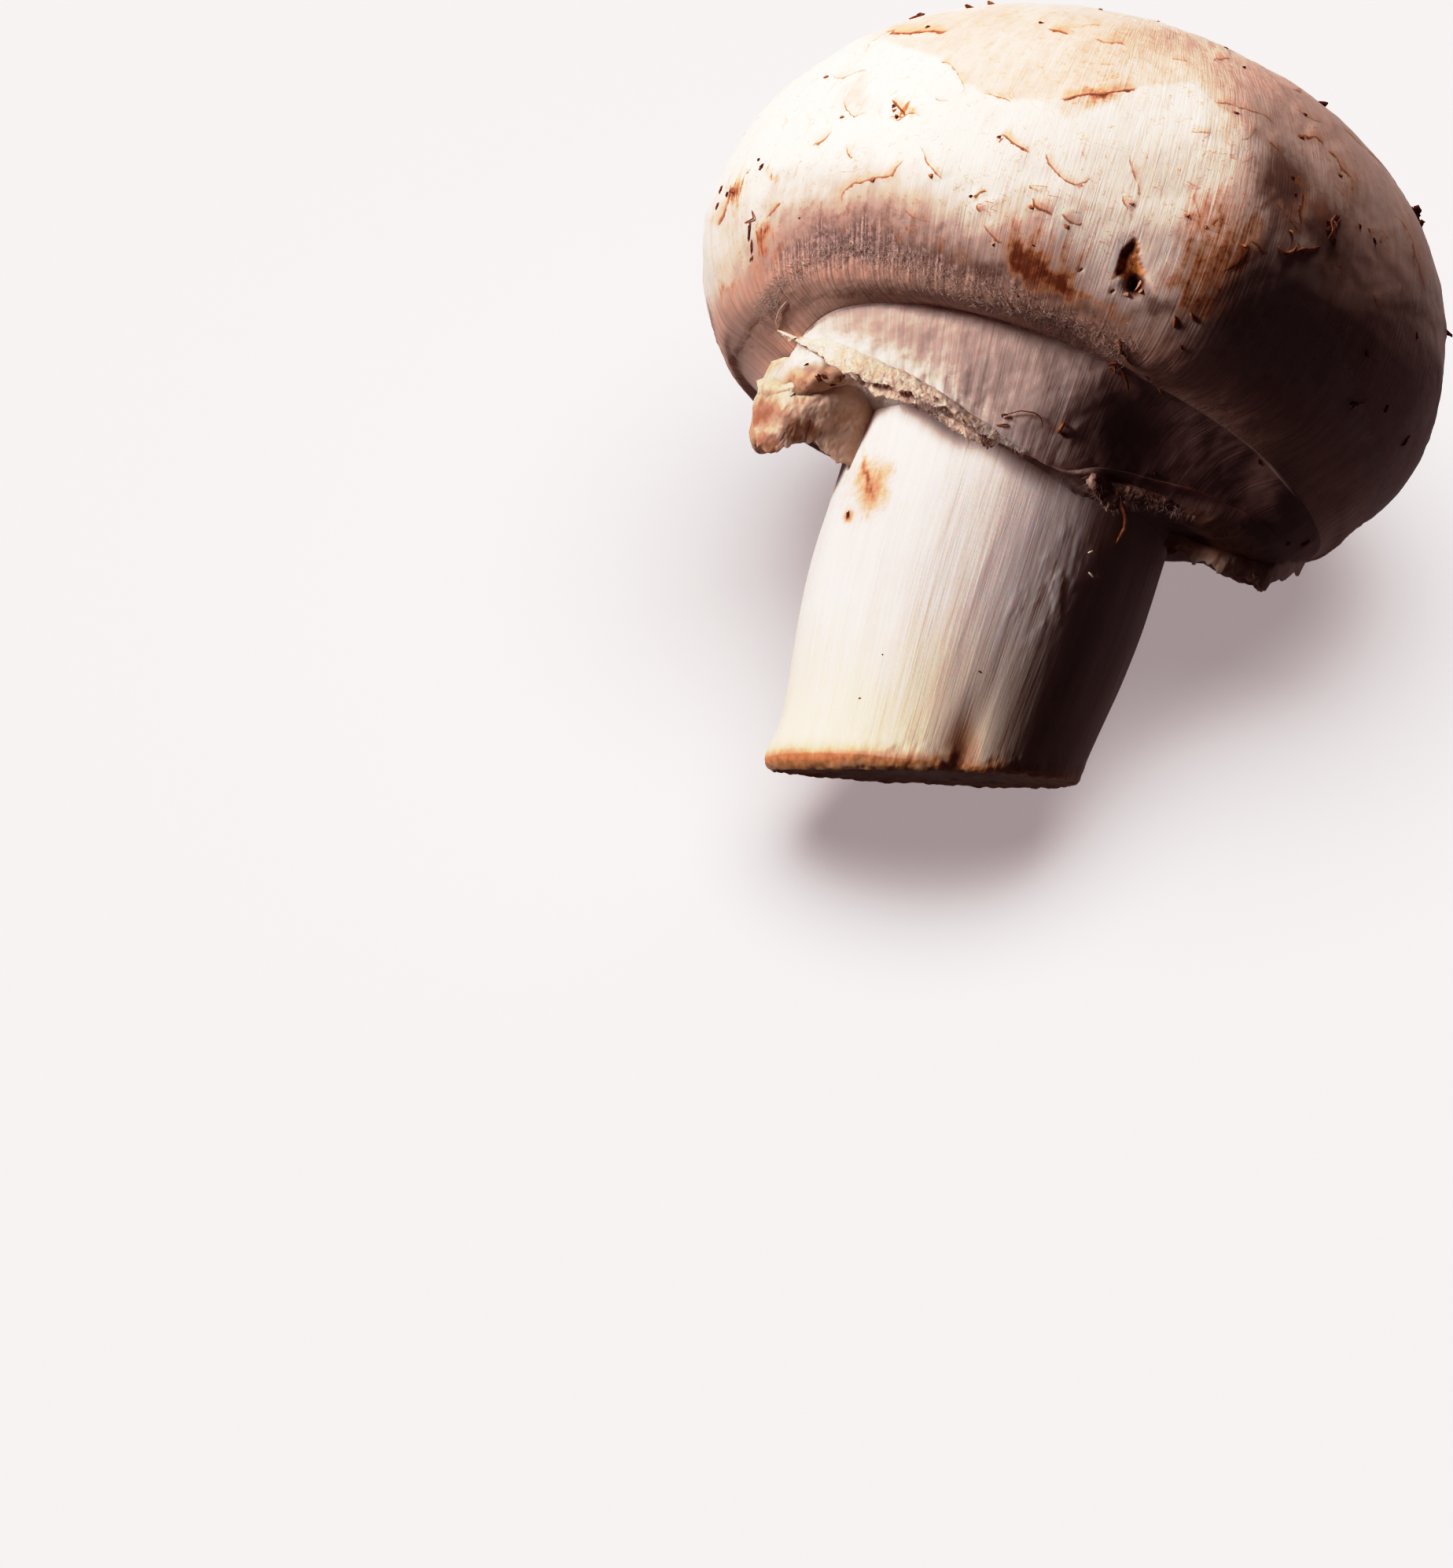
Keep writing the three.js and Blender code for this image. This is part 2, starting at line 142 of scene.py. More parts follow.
@dataclass(frozen=True)
class Viewpoint:
    """Where the mushroom is looked at from, and how its stalk leans in that view."""

    lay: Lay = Lay()
    azimuth: float = 18.9
    elevation: float = 42.53
    lean: float = 17.0  # of the stalk's axis, clockwise from straight up
    far: float = 691.27  # from the viewer to the veil ring's depth, in mm
    aim: tuple = (-18.616, -18.564)  # the picture's middle, right of and above the veil ring

    def back(self) -> Vector:
        """The direction from the mushroom towards the viewer."""
        a, e = math.radians(self.azimuth), math.radians(self.elevation)
        return Vector((math.sin(a) * math.cos(e), -math.cos(a) * math.cos(e), math.sin(e)))

    def right(self) -> Vector:
        """The direction to the viewer's right."""
        a = math.radians(self.azimuth)
        return Vector((math.cos(a), math.sin(a), 0))

    def up(self) -> Vector:
        """The direction that is up in the view."""
        return self.back().cross(self.right())

    def across(self) -> Vector:
        """To the right across the stalk, as it is seen."""
        lean = math.radians(self.lean)
        return self.right() * math.cos(lean) - self.up() * math.sin(lean)

    def along(self) -> Vector:
        """Up along the stalk, as it is seen."""
        lean = math.radians(self.lean)
        return self.right() * math.sin(lean) + self.up() * math.cos(lean)

    def see(self, points: Array) -> Array:
        """Where points in metres are seen.

        Args:
            points: Rows of x, y and z in the row frame.

        Returns:
            Rows of across, along and towards the viewer, in millimetres from the veil ring.
        """
        axes = np.array([self.right(), self.up(), self.back()])
        right, up, near = ((points / MM - np.array(self.lay.ring)) @ axes.T).T
        larger = self.far / (self.far - near)
        right = self.aim[0] + (right - self.aim[0]) * larger
        up = self.aim[1] + (up - self.aim[1]) * larger
        c, s = math.cos(math.radians(self.lean)), math.sin(math.radians(self.lean))
        return joined(right * c - up * s, right * s + up * c, near)

    def nearness(self, point: Vector) -> float:
        """How far towards the viewer a point in metres is, in millimetres from the veil ring."""
        return self.see(np.array([point]))[0, 2]

    def place(self, seen: tuple) -> Vector:
        """The point that is seen at a place.

        Args:
            seen: Across, along and towards the viewer, in millimetres from the veil ring.

        Returns:
            The point in metres in the row frame.
        """
        across, along, near = seen
        c, s = math.cos(math.radians(self.lean)), math.sin(math.radians(self.lean))
        smaller = 1 - near / self.far
        right = self.aim[0] + (across * c + along * s - self.aim[0]) * smaller
        up = self.aim[1] + (along * c - across * s - self.aim[1]) * smaller
        upwards = Vector(self.lay.ring) + self.right() * right + self.up() * up
        return (upwards + self.back() * near) * MM


VIEW = Viewpoint()
LAY = VIEW.lay


# --- Shader expressions ---

class Value:
    """A number that varies over a surface. Sums with it add Math nodes to its material."""

    def __init__(self, shader: "Shader", socket: NodeSocket) -> None:
        """Wraps an output socket of a node in the shader."""
        self.shader = shader
        self.socket = socket

    def _sum(self, operation: str, first: object, second: object) -> "Value":
        """Adds one Math node for two inputs."""
        node = self.shader.node("ShaderNodeMath", {"operation": operation}, {0: first, 1: second})
        return Value(self.shader, node.outputs[0])

    def __add__(self, other: object) -> "Value":
        """self + other."""
        return self._sum("ADD", self, other)

    __radd__ = __add__

    def __sub__(self, other: object) -> "Value":
        """self - other."""
        return self._sum("SUBTRACT", self, other)

    def __rsub__(self, other: object) -> "Value":
        """other - self."""
        return self._sum("SUBTRACT", other, self)

    def __mul__(self, other: object) -> "Value":
        """self * other."""
        return self._sum("MULTIPLY", self, other)

    __rmul__ = __mul__

    def higher(self, other: object) -> "Value":
        """The larger of the two."""
        return self._sum("MAXIMUM", self, other)

    def sway(self, amount: float) -> "Value":
        """An amount times how far it is above a half."""
        return (self - 0.5) * amount

    def size(self) -> "Value":
        """Its size, without its sign."""
        return self._sum("ABSOLUTE", self, 0.0)

    def between(self, low: float, high: float) -> "Value":
        """Goes smoothly from 0 up to low to 1 from high on.

        Args:
            low: Where it starts to rise.
            high: Where it has risen.

        Returns:
            A value from 0 to 1.
        """
        settings = {"interpolation_type": "SMOOTHSTEP"}
        inputs = {0: self, 1: low, 2: high}
        return Value(self.shader, self.shader.node("ShaderNodeMapRange", settings, inputs).outputs[0])


class Shader:
    """A material's node tree, with one Principled shader."""

    def __init__(self, name: str) -> None:
        """Starts a material with its nodes cleared.

        Args:
            name: The material's name.
        """
        self.material = bpy.data.materials.new(name)
        self.material.use_nodes = True
        self.tree = self.material.node_tree
        self.tree.nodes.clear()
        self.skin = self.node("ShaderNodeBsdfPrincipled")
        self.node("ShaderNodeOutputMaterial", inputs={"Surface": self.skin.outputs[0]})

    def node(self, kind: str, settings: dict | None = None,
             inputs: dict | None = None) -> bpy.types.Node:
        """Adds a node.

        Args:
            kind: The node's type.
            settings: Its properties, set first.
            inputs: Values or links of its sockets, by name or number.

        Returns:
            The node.
        """
        node = self.tree.nodes.new(kind)
        for name, value in (settings or {}).items():
            setattr(node, name, value)
        for key, value in (inputs or {}).items():
            self.feed(node.inputs[key], value)
        return node

    def feed(self, socket: NodeSocket, value: object) -> None:
        """Links or sets one input socket.

        Args:
            socket: The input.
            value: A Value or a socket to link, or a number or a colour to set.
        """
        if isinstance(value, Value):
            self.tree.links.new(value.socket, socket)
        elif isinstance(value, NodeSocket):
            self.tree.links.new(value, socket)
        elif isinstance(value, tuple) and len(value) == 3 and socket.type == "RGBA":
            socket.default_value = (*value, 1.0)
        else:
            socket.default_value = value

    def attribute(self, name: str) -> Value:
        """A number that the mesh carries at its points."""
        return Value(self, self.node("ShaderNodeAttribute", {"attribute_name": name}).outputs["Fac"])

    def upright(self) -> NodeSocket:
        """The surface's place while the mushroom stands upright.

        Returns:
            A vector in millimetres.
        """
        inverse = LAY.turned().transposed()
        place = self.node("ShaderNodeTexCoord").outputs["Object"]
        inputs = {
            "Vector": place,
            "Location": inverse @ -Vector(LAY.ring),
            "Rotation": inverse.to_euler("XYZ"),
            "Scale": (1 / MM, 1 / MM, 1 / MM),
        }
        return self.node("ShaderNodeMapping", {"vector_type": "POINT"}, inputs).outputs[0]

    def parts(self, vector: NodeSocket) -> tuple:
        """A vector's three numbers."""
        node = self.node("ShaderNodeSeparateXYZ", inputs={0: vector})
        return tuple(Value(self, out) for out in node.outputs)

    def vector(self, x: object, y: object, z: object) -> NodeSocket:
        """A vector of three numbers."""
        return self.node("ShaderNodeCombineXYZ", inputs={0: x, 1: y, 2: z}).outputs[0]

    def fibres(self, around: float, run: float) -> NodeSocket:
        """A place for streaks that run from the stalk's foot over the cap to its top.

        Args:
            around: How many streaks go round one radian of the mushroom.
            run: How long a streak is, in millimetres.

        Returns:
            A vector for a noise of scale 1.
        """
        x, y, z = self.parts(self.upright())
        level = {0: self.vector(x, 0.0, z)}
        flat = self.node("ShaderNodeVectorMath", {"operation": "NORMALIZE"}, level)
        length = self.node("ShaderNodeVectorMath", {"operation": "LENGTH"}, level)
        ux, _, uz = self.parts(flat.outputs[0])
        reach = Value(self, length.outputs["Value"])
        return self.vector(ux * around, (y - reach) * (1 / run), uz * around)

    def noise(self, vector: NodeSocket, scale: float, detail: float = 2.0,
              rough: float = 0.5, bend: float = 0.0) -> Value:
        """A noise from 0 to 1.

        Args:
            vector: The place at which it is wanted.
            scale: How many of its largest lumps fit in one unit of that place.
            detail: How many finer noises are added.
            rough: How strong they are.
            bend: How far the noise is drawn aside by another.

        Returns:
            The noise.
        """
        inputs = {"Vector": vector, "Scale": scale, "Detail": detail, "Roughness": rough, "Distortion": bend}
        return Value(self, self.node("ShaderNodeTexNoise", inputs=inputs).outputs["Fac"])

    def mix(self, share: object, first: object, second: object) -> NodeSocket:
        """Mixes two colours, from the first at 0 to the second at 1."""
        settings = {"data_type": "RGBA", "clamp_factor": True}
        return self.node("ShaderNodeMix", settings, {0: share, 6: first, 7: second}).outputs[2]

    def bump(self, height: Value, distance: float, strength: float = 1.0) -> None:
        """Roughens the surface by a height from 0 to 1 that stands for a distance in millimetres."""
        inputs = {"Height": height, "Distance": distance * MM, "Strength": strength}
        self.feed(self.skin.inputs["Normal"], self.node("ShaderNodeBump", inputs=inputs).outputs[0])

    def set(self, **sockets: object) -> None:
        """Sets or links sockets of the Principled shader, with _ for a space in a name."""
        for name, value in sockets.items():
            self.feed(self.skin.inputs[name.replace("_", " ")], value)

    def flesh(self, depth: float, share: float) -> None:
        """Lets light into the flesh.

        Args:
            depth: How far, in millimetres.
            share: How much of the light.
        """
        self.set(
            Subsurface_Weight=share,
            Subsurface_Radius=(1.0, 0.42, 0.28),
            Subsurface_Scale=depth * MM,
        )


# --- The grown form, from the same driving dimensions as the solid ---

class Key(Enum):
    """The places that the underside's curve goes through, in its order from the stalk."""

    JOIN = 0
    TUCK = 1
    HEM = 2
    SKIRT = 3
    NOTCH = 4
    LIP = 5
    BELLY = 6
    CREASE = 7
    UNDER = 8
    RIM = 9
    SIDE = 10


# Turn, then radius and height of: rim, crease, belly, lip, notch, skirt, hem, tuck; then the join.
STATIONS = (
    (-140, 20.6, 5.5, 19.2, 5.0, 18.4, 4.5, 17.2, 3.8, 16.6, 3.7, 15.6, 3.4, 14.2, 2.8, 12.6, 2.1, 1.2),
    (-115, 20.5, 5.6, 18.6, 3.9, 18.2, 3.4, 17.8, 3.1, 17.3, 2.9, 16.4, 2.7, 15.1, 2.4, 13.0, 1.7, 0.5),
    (-92, 20.8, 5.4, 17.1, 3.7, 17.1, 3.4, 17.3, 3.1, 17.6, 2.5, 17.9, 1.0, 16.7, -1.2, 13.6, 1.2, 0.8),
    (-75, 21.3, 5.1, 17.0, 3.9, 17.0, 3.7, 17.3, 3.4, 17.6, 2.9, 17.8, 1.6, 16.5, -0.4, 13.7, 2.3, 1.6),
    (-60, 21.8, 5.2, 18.4, 4.5, 18.3, 4.2, 18.2, 3.8, 17.6, 3.5, 17.0, 2.6, 15.6, 1.6, 13.2, 2.8, 2.0),
    (-45, 22.2, 5.3, 19.7, 5.1, 18.8, 3.9, 17.4, 1.8, 15.6, 2.8, 13.8, 2.8, 12.4, 2.6, 11.7, 2.4, 2.0),
    (-30, 22.4, 5.5, 18.8, 6.0, 18.0, 4.2, 15.9, 0.6, 13.6, 1.8, 12.1, 1.8, 11.6, 1.6, 11.4, 1.4, 1.0),
    (-15, 22.5, 5.5, 17.9, 6.1, 17.2, 4.1, 14.8, -0.2, 12.9, 0.9, 11.8, 0.9, 11.5, 0.8, 11.4, 0.6, 0.3),
    (0, 22.5, 5.5, 17.4, 5.9, 16.8, 3.7, 14.1, -0.7, 12.5, 0.4, 11.6, 0.3, 11.4, 0.1, 11.3, -0.1, -0.4),
    (12, 22.4, 5.4, 17.5, 5.6, 16.5, 3.6, 13.6, -0.8, 12.3, 0.2, 11.6, 0.0, 11.4, -0.3, 11.3, -0.6, -1.0),
    (22, 22.3, 5.4, 17.9, 5.2, 15.9, 3.1, 14.3, -0.4, 12.9, -0.5, 12.0, -0.8, 11.6, -1.1, 11.3, -1.2, -1.5),
    (33, 22.2, 5.3, 18.6, 4.7, 15.9, 2.9, 14.8, 0.1, 13.9, -0.4, 13.0, -0.9, 12.4, -1.2, 11.7, -0.7, -1.0),
    (47, 21.8, 5.2, 19.3, 4.1, 17.4, 2.7, 15.9, 0.6, 15.3, 0.1, 14.7, -0.3, 13.6, -0.6, 12.2, -0.3, -0.6),
    (62, 21.4, 4.9, 20.0, 3.4, 19.1, 2.3, 18.3, 1.3, 18.1, 0.9, 17.2, 0.1, 15.6, -0.3, 13.0, -0.2, -0.5),
    (80, 21.9, 4.9, 20.4, 3.1, 19.8, 2.2, 19.1, 1.6, 18.8, 1.1, 18.2, 0.3, 16.5, -0.4, 13.6, -0.2, -0.6),
    (95, 22.2, 4.9, 20.6, 3.4, 19.7, 2.5, 19.0, 1.8, 18.7, 1.5, 18.2, 0.6, 17.2, 0.2, 13.6, 0.4, -0.3),
    (115, 22.2, 4.9, 20.3, 4.2, 19.2, 3.5, 18.0, 3.1, 17.5, 2.9, 16.4, 2.7, 15.0, 2.4, 13.0, 1.9, 0.7),
    (140, 21.2, 5.3, 19.4, 5.0, 18.5, 4.4, 17.2, 3.7, 16.6, 3.6, 15.6, 3.3, 14.2, 2.8, 12.6, 2.1, 1.2),
    (180, 21.0, 5.3, 19.2, 5.2, 18.4, 4.2, 16.7, 2.6, 16.0, 3.2, 15.2, 3.0, 14.0, 2.6, 12.6, 2.0, 1.2),
)


@dataclass(frozen=True)
class Tear:
    """How a torn edge strays: its teeth round the mushroom, their depth in mm, and its seed."""

    teeth: int
    depth: float
    seed: int

    def at(self, turns: Array) -> Array:
        """How far the edge strays each way from its mean line.

        Args:
            turns: The turns at which it is wanted.

        Returns:
            A number in millimetres for each turn.
        """
        place = turns % FULL_TURN / FULL_TURN * self.teeth
        tooth = np.floor(place)
        first, second = (draw(self.seed, (tooth + step) % self.teeth) for step in (0, 1))
        return self.depth * (2 * (first + (second - first) * smoothstep(place - tooth, 0, 1)) - 1)


@dataclass
class Growth:
    """The mushroom's outline at any turn, in upright millimetres."""

    cap_radius: float = 25.3
    cap_shift: float = 0.4
    crown_shift: float = 0.9
    cap_height: float = 13.0
    crown_rise: float = 20.1
    crown_fullness: float = 2.15
    under_drop: float = 15.1
    rim_round: float = 0.75
    inroll_out: float = 0.5
    inroll_down: float = 0.7
    stalk_top_radius: float = 11.15
    stalk_foot_radius: float = 9.75
    taper_height: float = -13.4
    taper_span: float = 8.0
    bow: float = 0.25
    cut_height: float = -19.7
    cut_rise_right: float = 0.255
    cut_fall_front: float = 0.225
    cut_hollow: float = 0.5
    wave: float = 0.12  # how far the stalk is from round
    wave_turn: float = 40.0
    fold: tuple = (10.0, 6.0, 0.45)  # low on the stalk: its turn, half width in degrees and depth
    fold_heights: tuple = (-21.0, -14.0)  # where it starts to fade, and where it is gone
    flare: tuple = (-88.0, 30.0, 0.55)  # at the foot: its turn, half width in degrees and depth
    flare_heights: tuple = (-22.0, 2.5)  # its height and half length
    torn_lip: Tear = Tear(31, 0.2, 21)
    torn_hem: Tear = Tear(29, 0.3, 22)
    frayed_hem: Tear = Tear(30, 0.3, 23)

    def stations(self, turns: Array) -> Array:
        """The stations' numbers, by a smooth cubic between them.

        Args:
            turns: The turns at which they are wanted.

        Returns:
            An array of turn and number.
        """
        table = np.array(STATIONS, float)
        places, values = table[:, 0], table[:, 1:]
        count = len(places)
        gaps = (np.roll(places, -1) - places) % FULL_TURN
        ahead = (turns[:, None] - places[None, :]) % FULL_TURN
        i = ahead.argmin(axis=1)
        span = gaps[i][:, None]
        f = ahead[np.arange(len(turns)), i][:, None] / span
        before, a, b, after = (values[(i + step) % count] for step in (-1, 0, 1, 2))
        slope_a = (b - before) / (gaps[(i - 1) % count][:, None] + span) * span
        slope_b = (after - a) / (span + gaps[(i + 1) % count][:, None]) * span
        bend = a - b
        cubic = 2 * bend + slope_a + slope_b
        return a + f * (slope_a + f * (-3 * bend - 2 * slope_a - slope_b + f * cubic))

    def stalk_radius(self, height: Array, turn: Array) -> Array:
        """The stalk's radius, with its taper, wave, bow, fold and flared foot.

        Args:
            height: Of each point.
            turn: Of each point.

        Returns:
            The radius at each point.
        """
        middle, span = self.taper_height, self.taper_span
        taper = smoothstep(height, middle - span, middle + span)
        radius = self.stalk_foot_radius + (self.stalk_top_radius - self.stalk_foot_radius) * taper
        start, half, depth = self.fold
        fold = depth * bell(turn_between(turn, start) / half) * (1 - smoothstep(height, *self.fold_heights))
        bow = self.bow * np.sin(np.radians(turn)) * bell((height - middle) / span)
        start, half, depth = self.flare
        low, long = self.flare_heights
        flare = depth * bell(turn_between(turn, start) / half) * bell((height - low) / long)
        wave = self.wave * np.cos(np.radians(3 * (turn - self.wave_turn)))
        return radius + wave + flare - fold - bow

    def cut(self, radius: Array, turn: Array) -> Array:
        """The height of the slanting cut under a point at this radius and turn."""
        right, front = radius * np.sin(np.radians(turn)), radius * np.cos(np.radians(turn))
        return self.cut_height + self.cut_rise_right * right - self.cut_fall_front * front

    def dome(self, rise: Array) -> Array:
        """The cap's dome.

        Args:
            rise: 0 at its widest ring and 90 at the top, in degrees.

        Returns:
            The radius and height at each rise.
        """
        up, out = np.sin(np.radians(rise)), np.cos(np.radians(rise))
        share = 2 / self.crown_fullness
        crown = rise > 0
        radius = np.where(crown, np.power(np.clip(out, 0, 1), share), out)
        bulge = self.crown_rise * np.power(np.clip(up, 0, 1), share)
        lift = np.where(crown, bulge, self.under_drop * up)
        return joined(self.cap_radius * radius, self.cap_height + lift)

    def lowest_rise(self, turns: Array) -> Array:
        """The dome's rise where the rim ends and the cap's side starts, at each turn."""
        rim = self.stations(turns)[:, 0] + self.rim_round
        return -np.degrees(np.arccos(np.minimum(1, rim / self.cap_radius)))

    def underside(self, turns: Array) -> Array:
        """The points that the underside's curve goes through.

        Args:
            turns: The turns at which they are wanted.

        Returns:
            An array of turn, Key number, and radius and height.
        """
        values = self.stations(turns)
        pairs = (values[:, 2 * k:2 * k + 2].copy() for k in range(8))
        rim, crease, belly, lip, notch, skirt, hem, tuck = pairs
        lip[:, 1] += self.torn_lip.at(turns)
        free = smoothstep(hem[:, 0], 12, 14)
        hem[:, 1] += self.torn_hem.at(turns)
        hem[:, 0] += self.frayed_hem.at(turns) * free
        join_height = values[:, 16]
        join = joined(self.stalk_radius(join_height, turns), join_height)
        shares = np.array([self.inroll_out, self.inroll_down])
        under = crease + (rim - crease) * shares
        lowest = self.lowest_rise(turns)
        ends = [self.dome(lowest), self.dome(lowest / 2)]
        return np.stack([join, tuck, hem, skirt, notch, lip, belly, crease, under, rim, *ends], axis=1)

    def curve(self, turns: Array, places: Array) -> Array:
        """Points on the underside's smooth curve.

        Args:
            turns: The turns at which it is wanted.
            places: Where on the curve, as Key numbers with shares between them.

        Returns:
            An array of turn, place, and radius and height.
        """
        points = self.underside(turns)
        last = points.shape[1] - 1
        i = np.minimum(np.floor(places).astype(int), last - 1)
        w = (places - i)[None, :, None]
        p0, p1, p2, p3 = (points[:, np.clip(i + step, 0, last)] for step in (-1, 0, 1, 2))
        v0, v1 = (p2 - p0) / 2, (p3 - p1) / 2
        return (2 * p1 - 2 * p2 + v0 + v1) * w**3 + (3 * p2 - 3 * p1 - 2 * v0 - v1) * w**2 + v0 * w + p1


GROWTH = Growth()


# --- Lathed pieces ---

@dataclass
class Skin:
    """A fine mesh of one lathed piece, with where each of its points is on the mushroom."""

    mesh: Mesh
    row: Array
    turn: Array
    upright: Array
    points: Array = field(default_factory=lambda: np.zeros(0))

    def normals(self) -> Array:
        """The outward direction at each point."""
        found = np.zeros(len(self.mesh.vertices) * 3, np.float32)
        self.mesh.vertex_normals.foreach_get("vector", found)
        return found.reshape(-1, 3).astype(float)

    def move(self, points: Array) -> None:
        """Puts the points at new places, none of them under the table.

        Args:
            points: Rows of x, y and z in metres.
        """
        self.points = points.copy()
        self.points[:, 2] = np.maximum(self.points[:, 2], 0)
        self.mesh.vertices.foreach_set("co", self.points.astype(np.float32).ravel())
        self.mesh.update()

    def note(self, name: str, numbers: Array) -> None:
        """Keeps one number at each point for the material to read."""
        layer = self.mesh.attributes.new(name, "FLOAT", "POINT")
        layer.data.foreach_set("value", numbers.astype(np.float32))

    def seen(self) -> Array:
        """Where the points are seen: across, along and towards the viewer."""
        return VIEW.see(self.points)

    def facing(self) -> Array:
        """How far each point faces the viewer, from -1 to 1."""
        return self.normals() @ np.array(VIEW.back())


def to_mesh(bm: bmesh.types.BMesh, name: str) -> Mesh:
    """Turns a bmesh into a smooth mesh with its faces outwards.

    Args:
        bm: The bmesh, which is used up.
        name: The mesh's name.

    Returns:
        The mesh.
    """
    bmesh.ops.recalc_face_normals(bm, faces=bm.faces)
    for face in bm.faces:
        face.smooth = True
    mesh = bpy.data.meshes.new(name)
    bm.to_mesh(mesh)
    bm.free()
    return mesh


def put(name: str, data: bpy.types.ID) -> Object:
    """Puts an object with this data in the scene."""
    made = bpy.data.objects.new(name, data)
    bpy.context.scene.collection.objects.link(made)
    return made


def crowd_front(turns: Array, crowd: float = 0.42) -> Array:
    """Moves evenly spaced turns closer together at the front of the mushroom."""
    return turns - math.degrees(crowd) * np.sin(np.radians(turns))


def wrap(profiles: Array, turns: Array, ring: Array, row: Array) -> Array:
    """The upright places of points on turned profiles.

    Args:
        profiles: An array of turn, row, and radius and height.
        turns: The profiles' turns.
        ring: The number of each point's profile.
        row: The number of each point on it.

    Returns:
        Rows of x, y and z.
    """
    angle = np.radians(turns[ring])
    radius, height = profiles[ring, row].T
    return joined(radius * np.sin(angle), height, radius * np.cos(angle))


def lathe(name: str, outline: callable, rings: int) -> Skin:
    """Wraps a grid round the stalk's axis, with each column on the outline at its turn.

    Args:
        name: The piece's name.
        outline: Gives an array of turn, row, and radius and height, for an array of turns. Its
            first and last rows are on the axis.
        rings: How many columns go round.

    Returns:
        The piece, placed in the row frame.
    """
    turns = crowd_front(np.arange(rings) * FULL_TURN / rings)
    profiles = outline(turns)
    rows = profiles.shape[1]
    bm = bmesh.new()
    bmesh.ops.create_grid(bm, x_segments=rings, y_segments=rows - 1, size=1)
    tags = bm.verts.layers.int.new("row"), bm.verts.layers.int.new("ring")
    across = np.array([v.co[:2] for v in bm.verts]) / 2 + 0.5
    places = np.rint(across * [rings, rows - 1]).astype(int)
    places[:, 0] %= rings
    for vert, (ring, row), co in zip(bm.verts, places, LAY.down(wrap(profiles, turns, *places.T))):
        vert[tags[0]], vert[tags[1]], vert.co = row, ring, co
    bmesh.ops.remove_doubles(bm, verts=bm.verts, dist=SEAM)
    row, ring = (np.array([v[tag] for v in bm.verts]) for tag in tags)
    upright = wrap(profiles, turns, ring, row)
    skin = Skin(to_mesh(bm, name), row, turns[ring], upright)
    skin.move(LAY.down(upright))
    return skin


def finish_piece(mesh: Mesh, shader: Shader,
                 stands_for_node: bool = False) -> Object:
    """Makes a mesh a piece of the mushroom.

    Args:
        mesh: The finished mesh, placed in the row frame.
        shader: Its finish.
        stands_for_node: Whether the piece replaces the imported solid.

    Returns:
        The piece's object.
    """
    piece = put(mesh.name, mesh)
    mesh.materials.append(shader.material)
    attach(piece, BODY)
    if stands_for_node:
        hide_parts(NODE)
    triangles = sum(len(p.vertices) - 2 for p in mesh.polygons)
    log.info("%s: %d triangles", piece.name, triangles)
    return piece


# --- Marks on the cap ---

@dataclass(frozen=True)
class Edge:
    """The free lower edge of a scale, from its left end to its right, as it is seen."""

    tone: float  # how brown its line is, up to 1
    path: tuple
    lift: float  # how far it stands up, in mm
    run: float  # how far above it the skin comes down again, in mm


def edge(tone: float, *numbers: float) -> Edge:
    """An edge that stands up as much as it is brown, along points of across and along."""
    path = tuple(zip(numbers[::2], numbers[1::2]))
    return Edge(min(1.0, tone + 0.15), path, 0.02 + 0.05 * tone, 1.8 + 1.4 * tone)


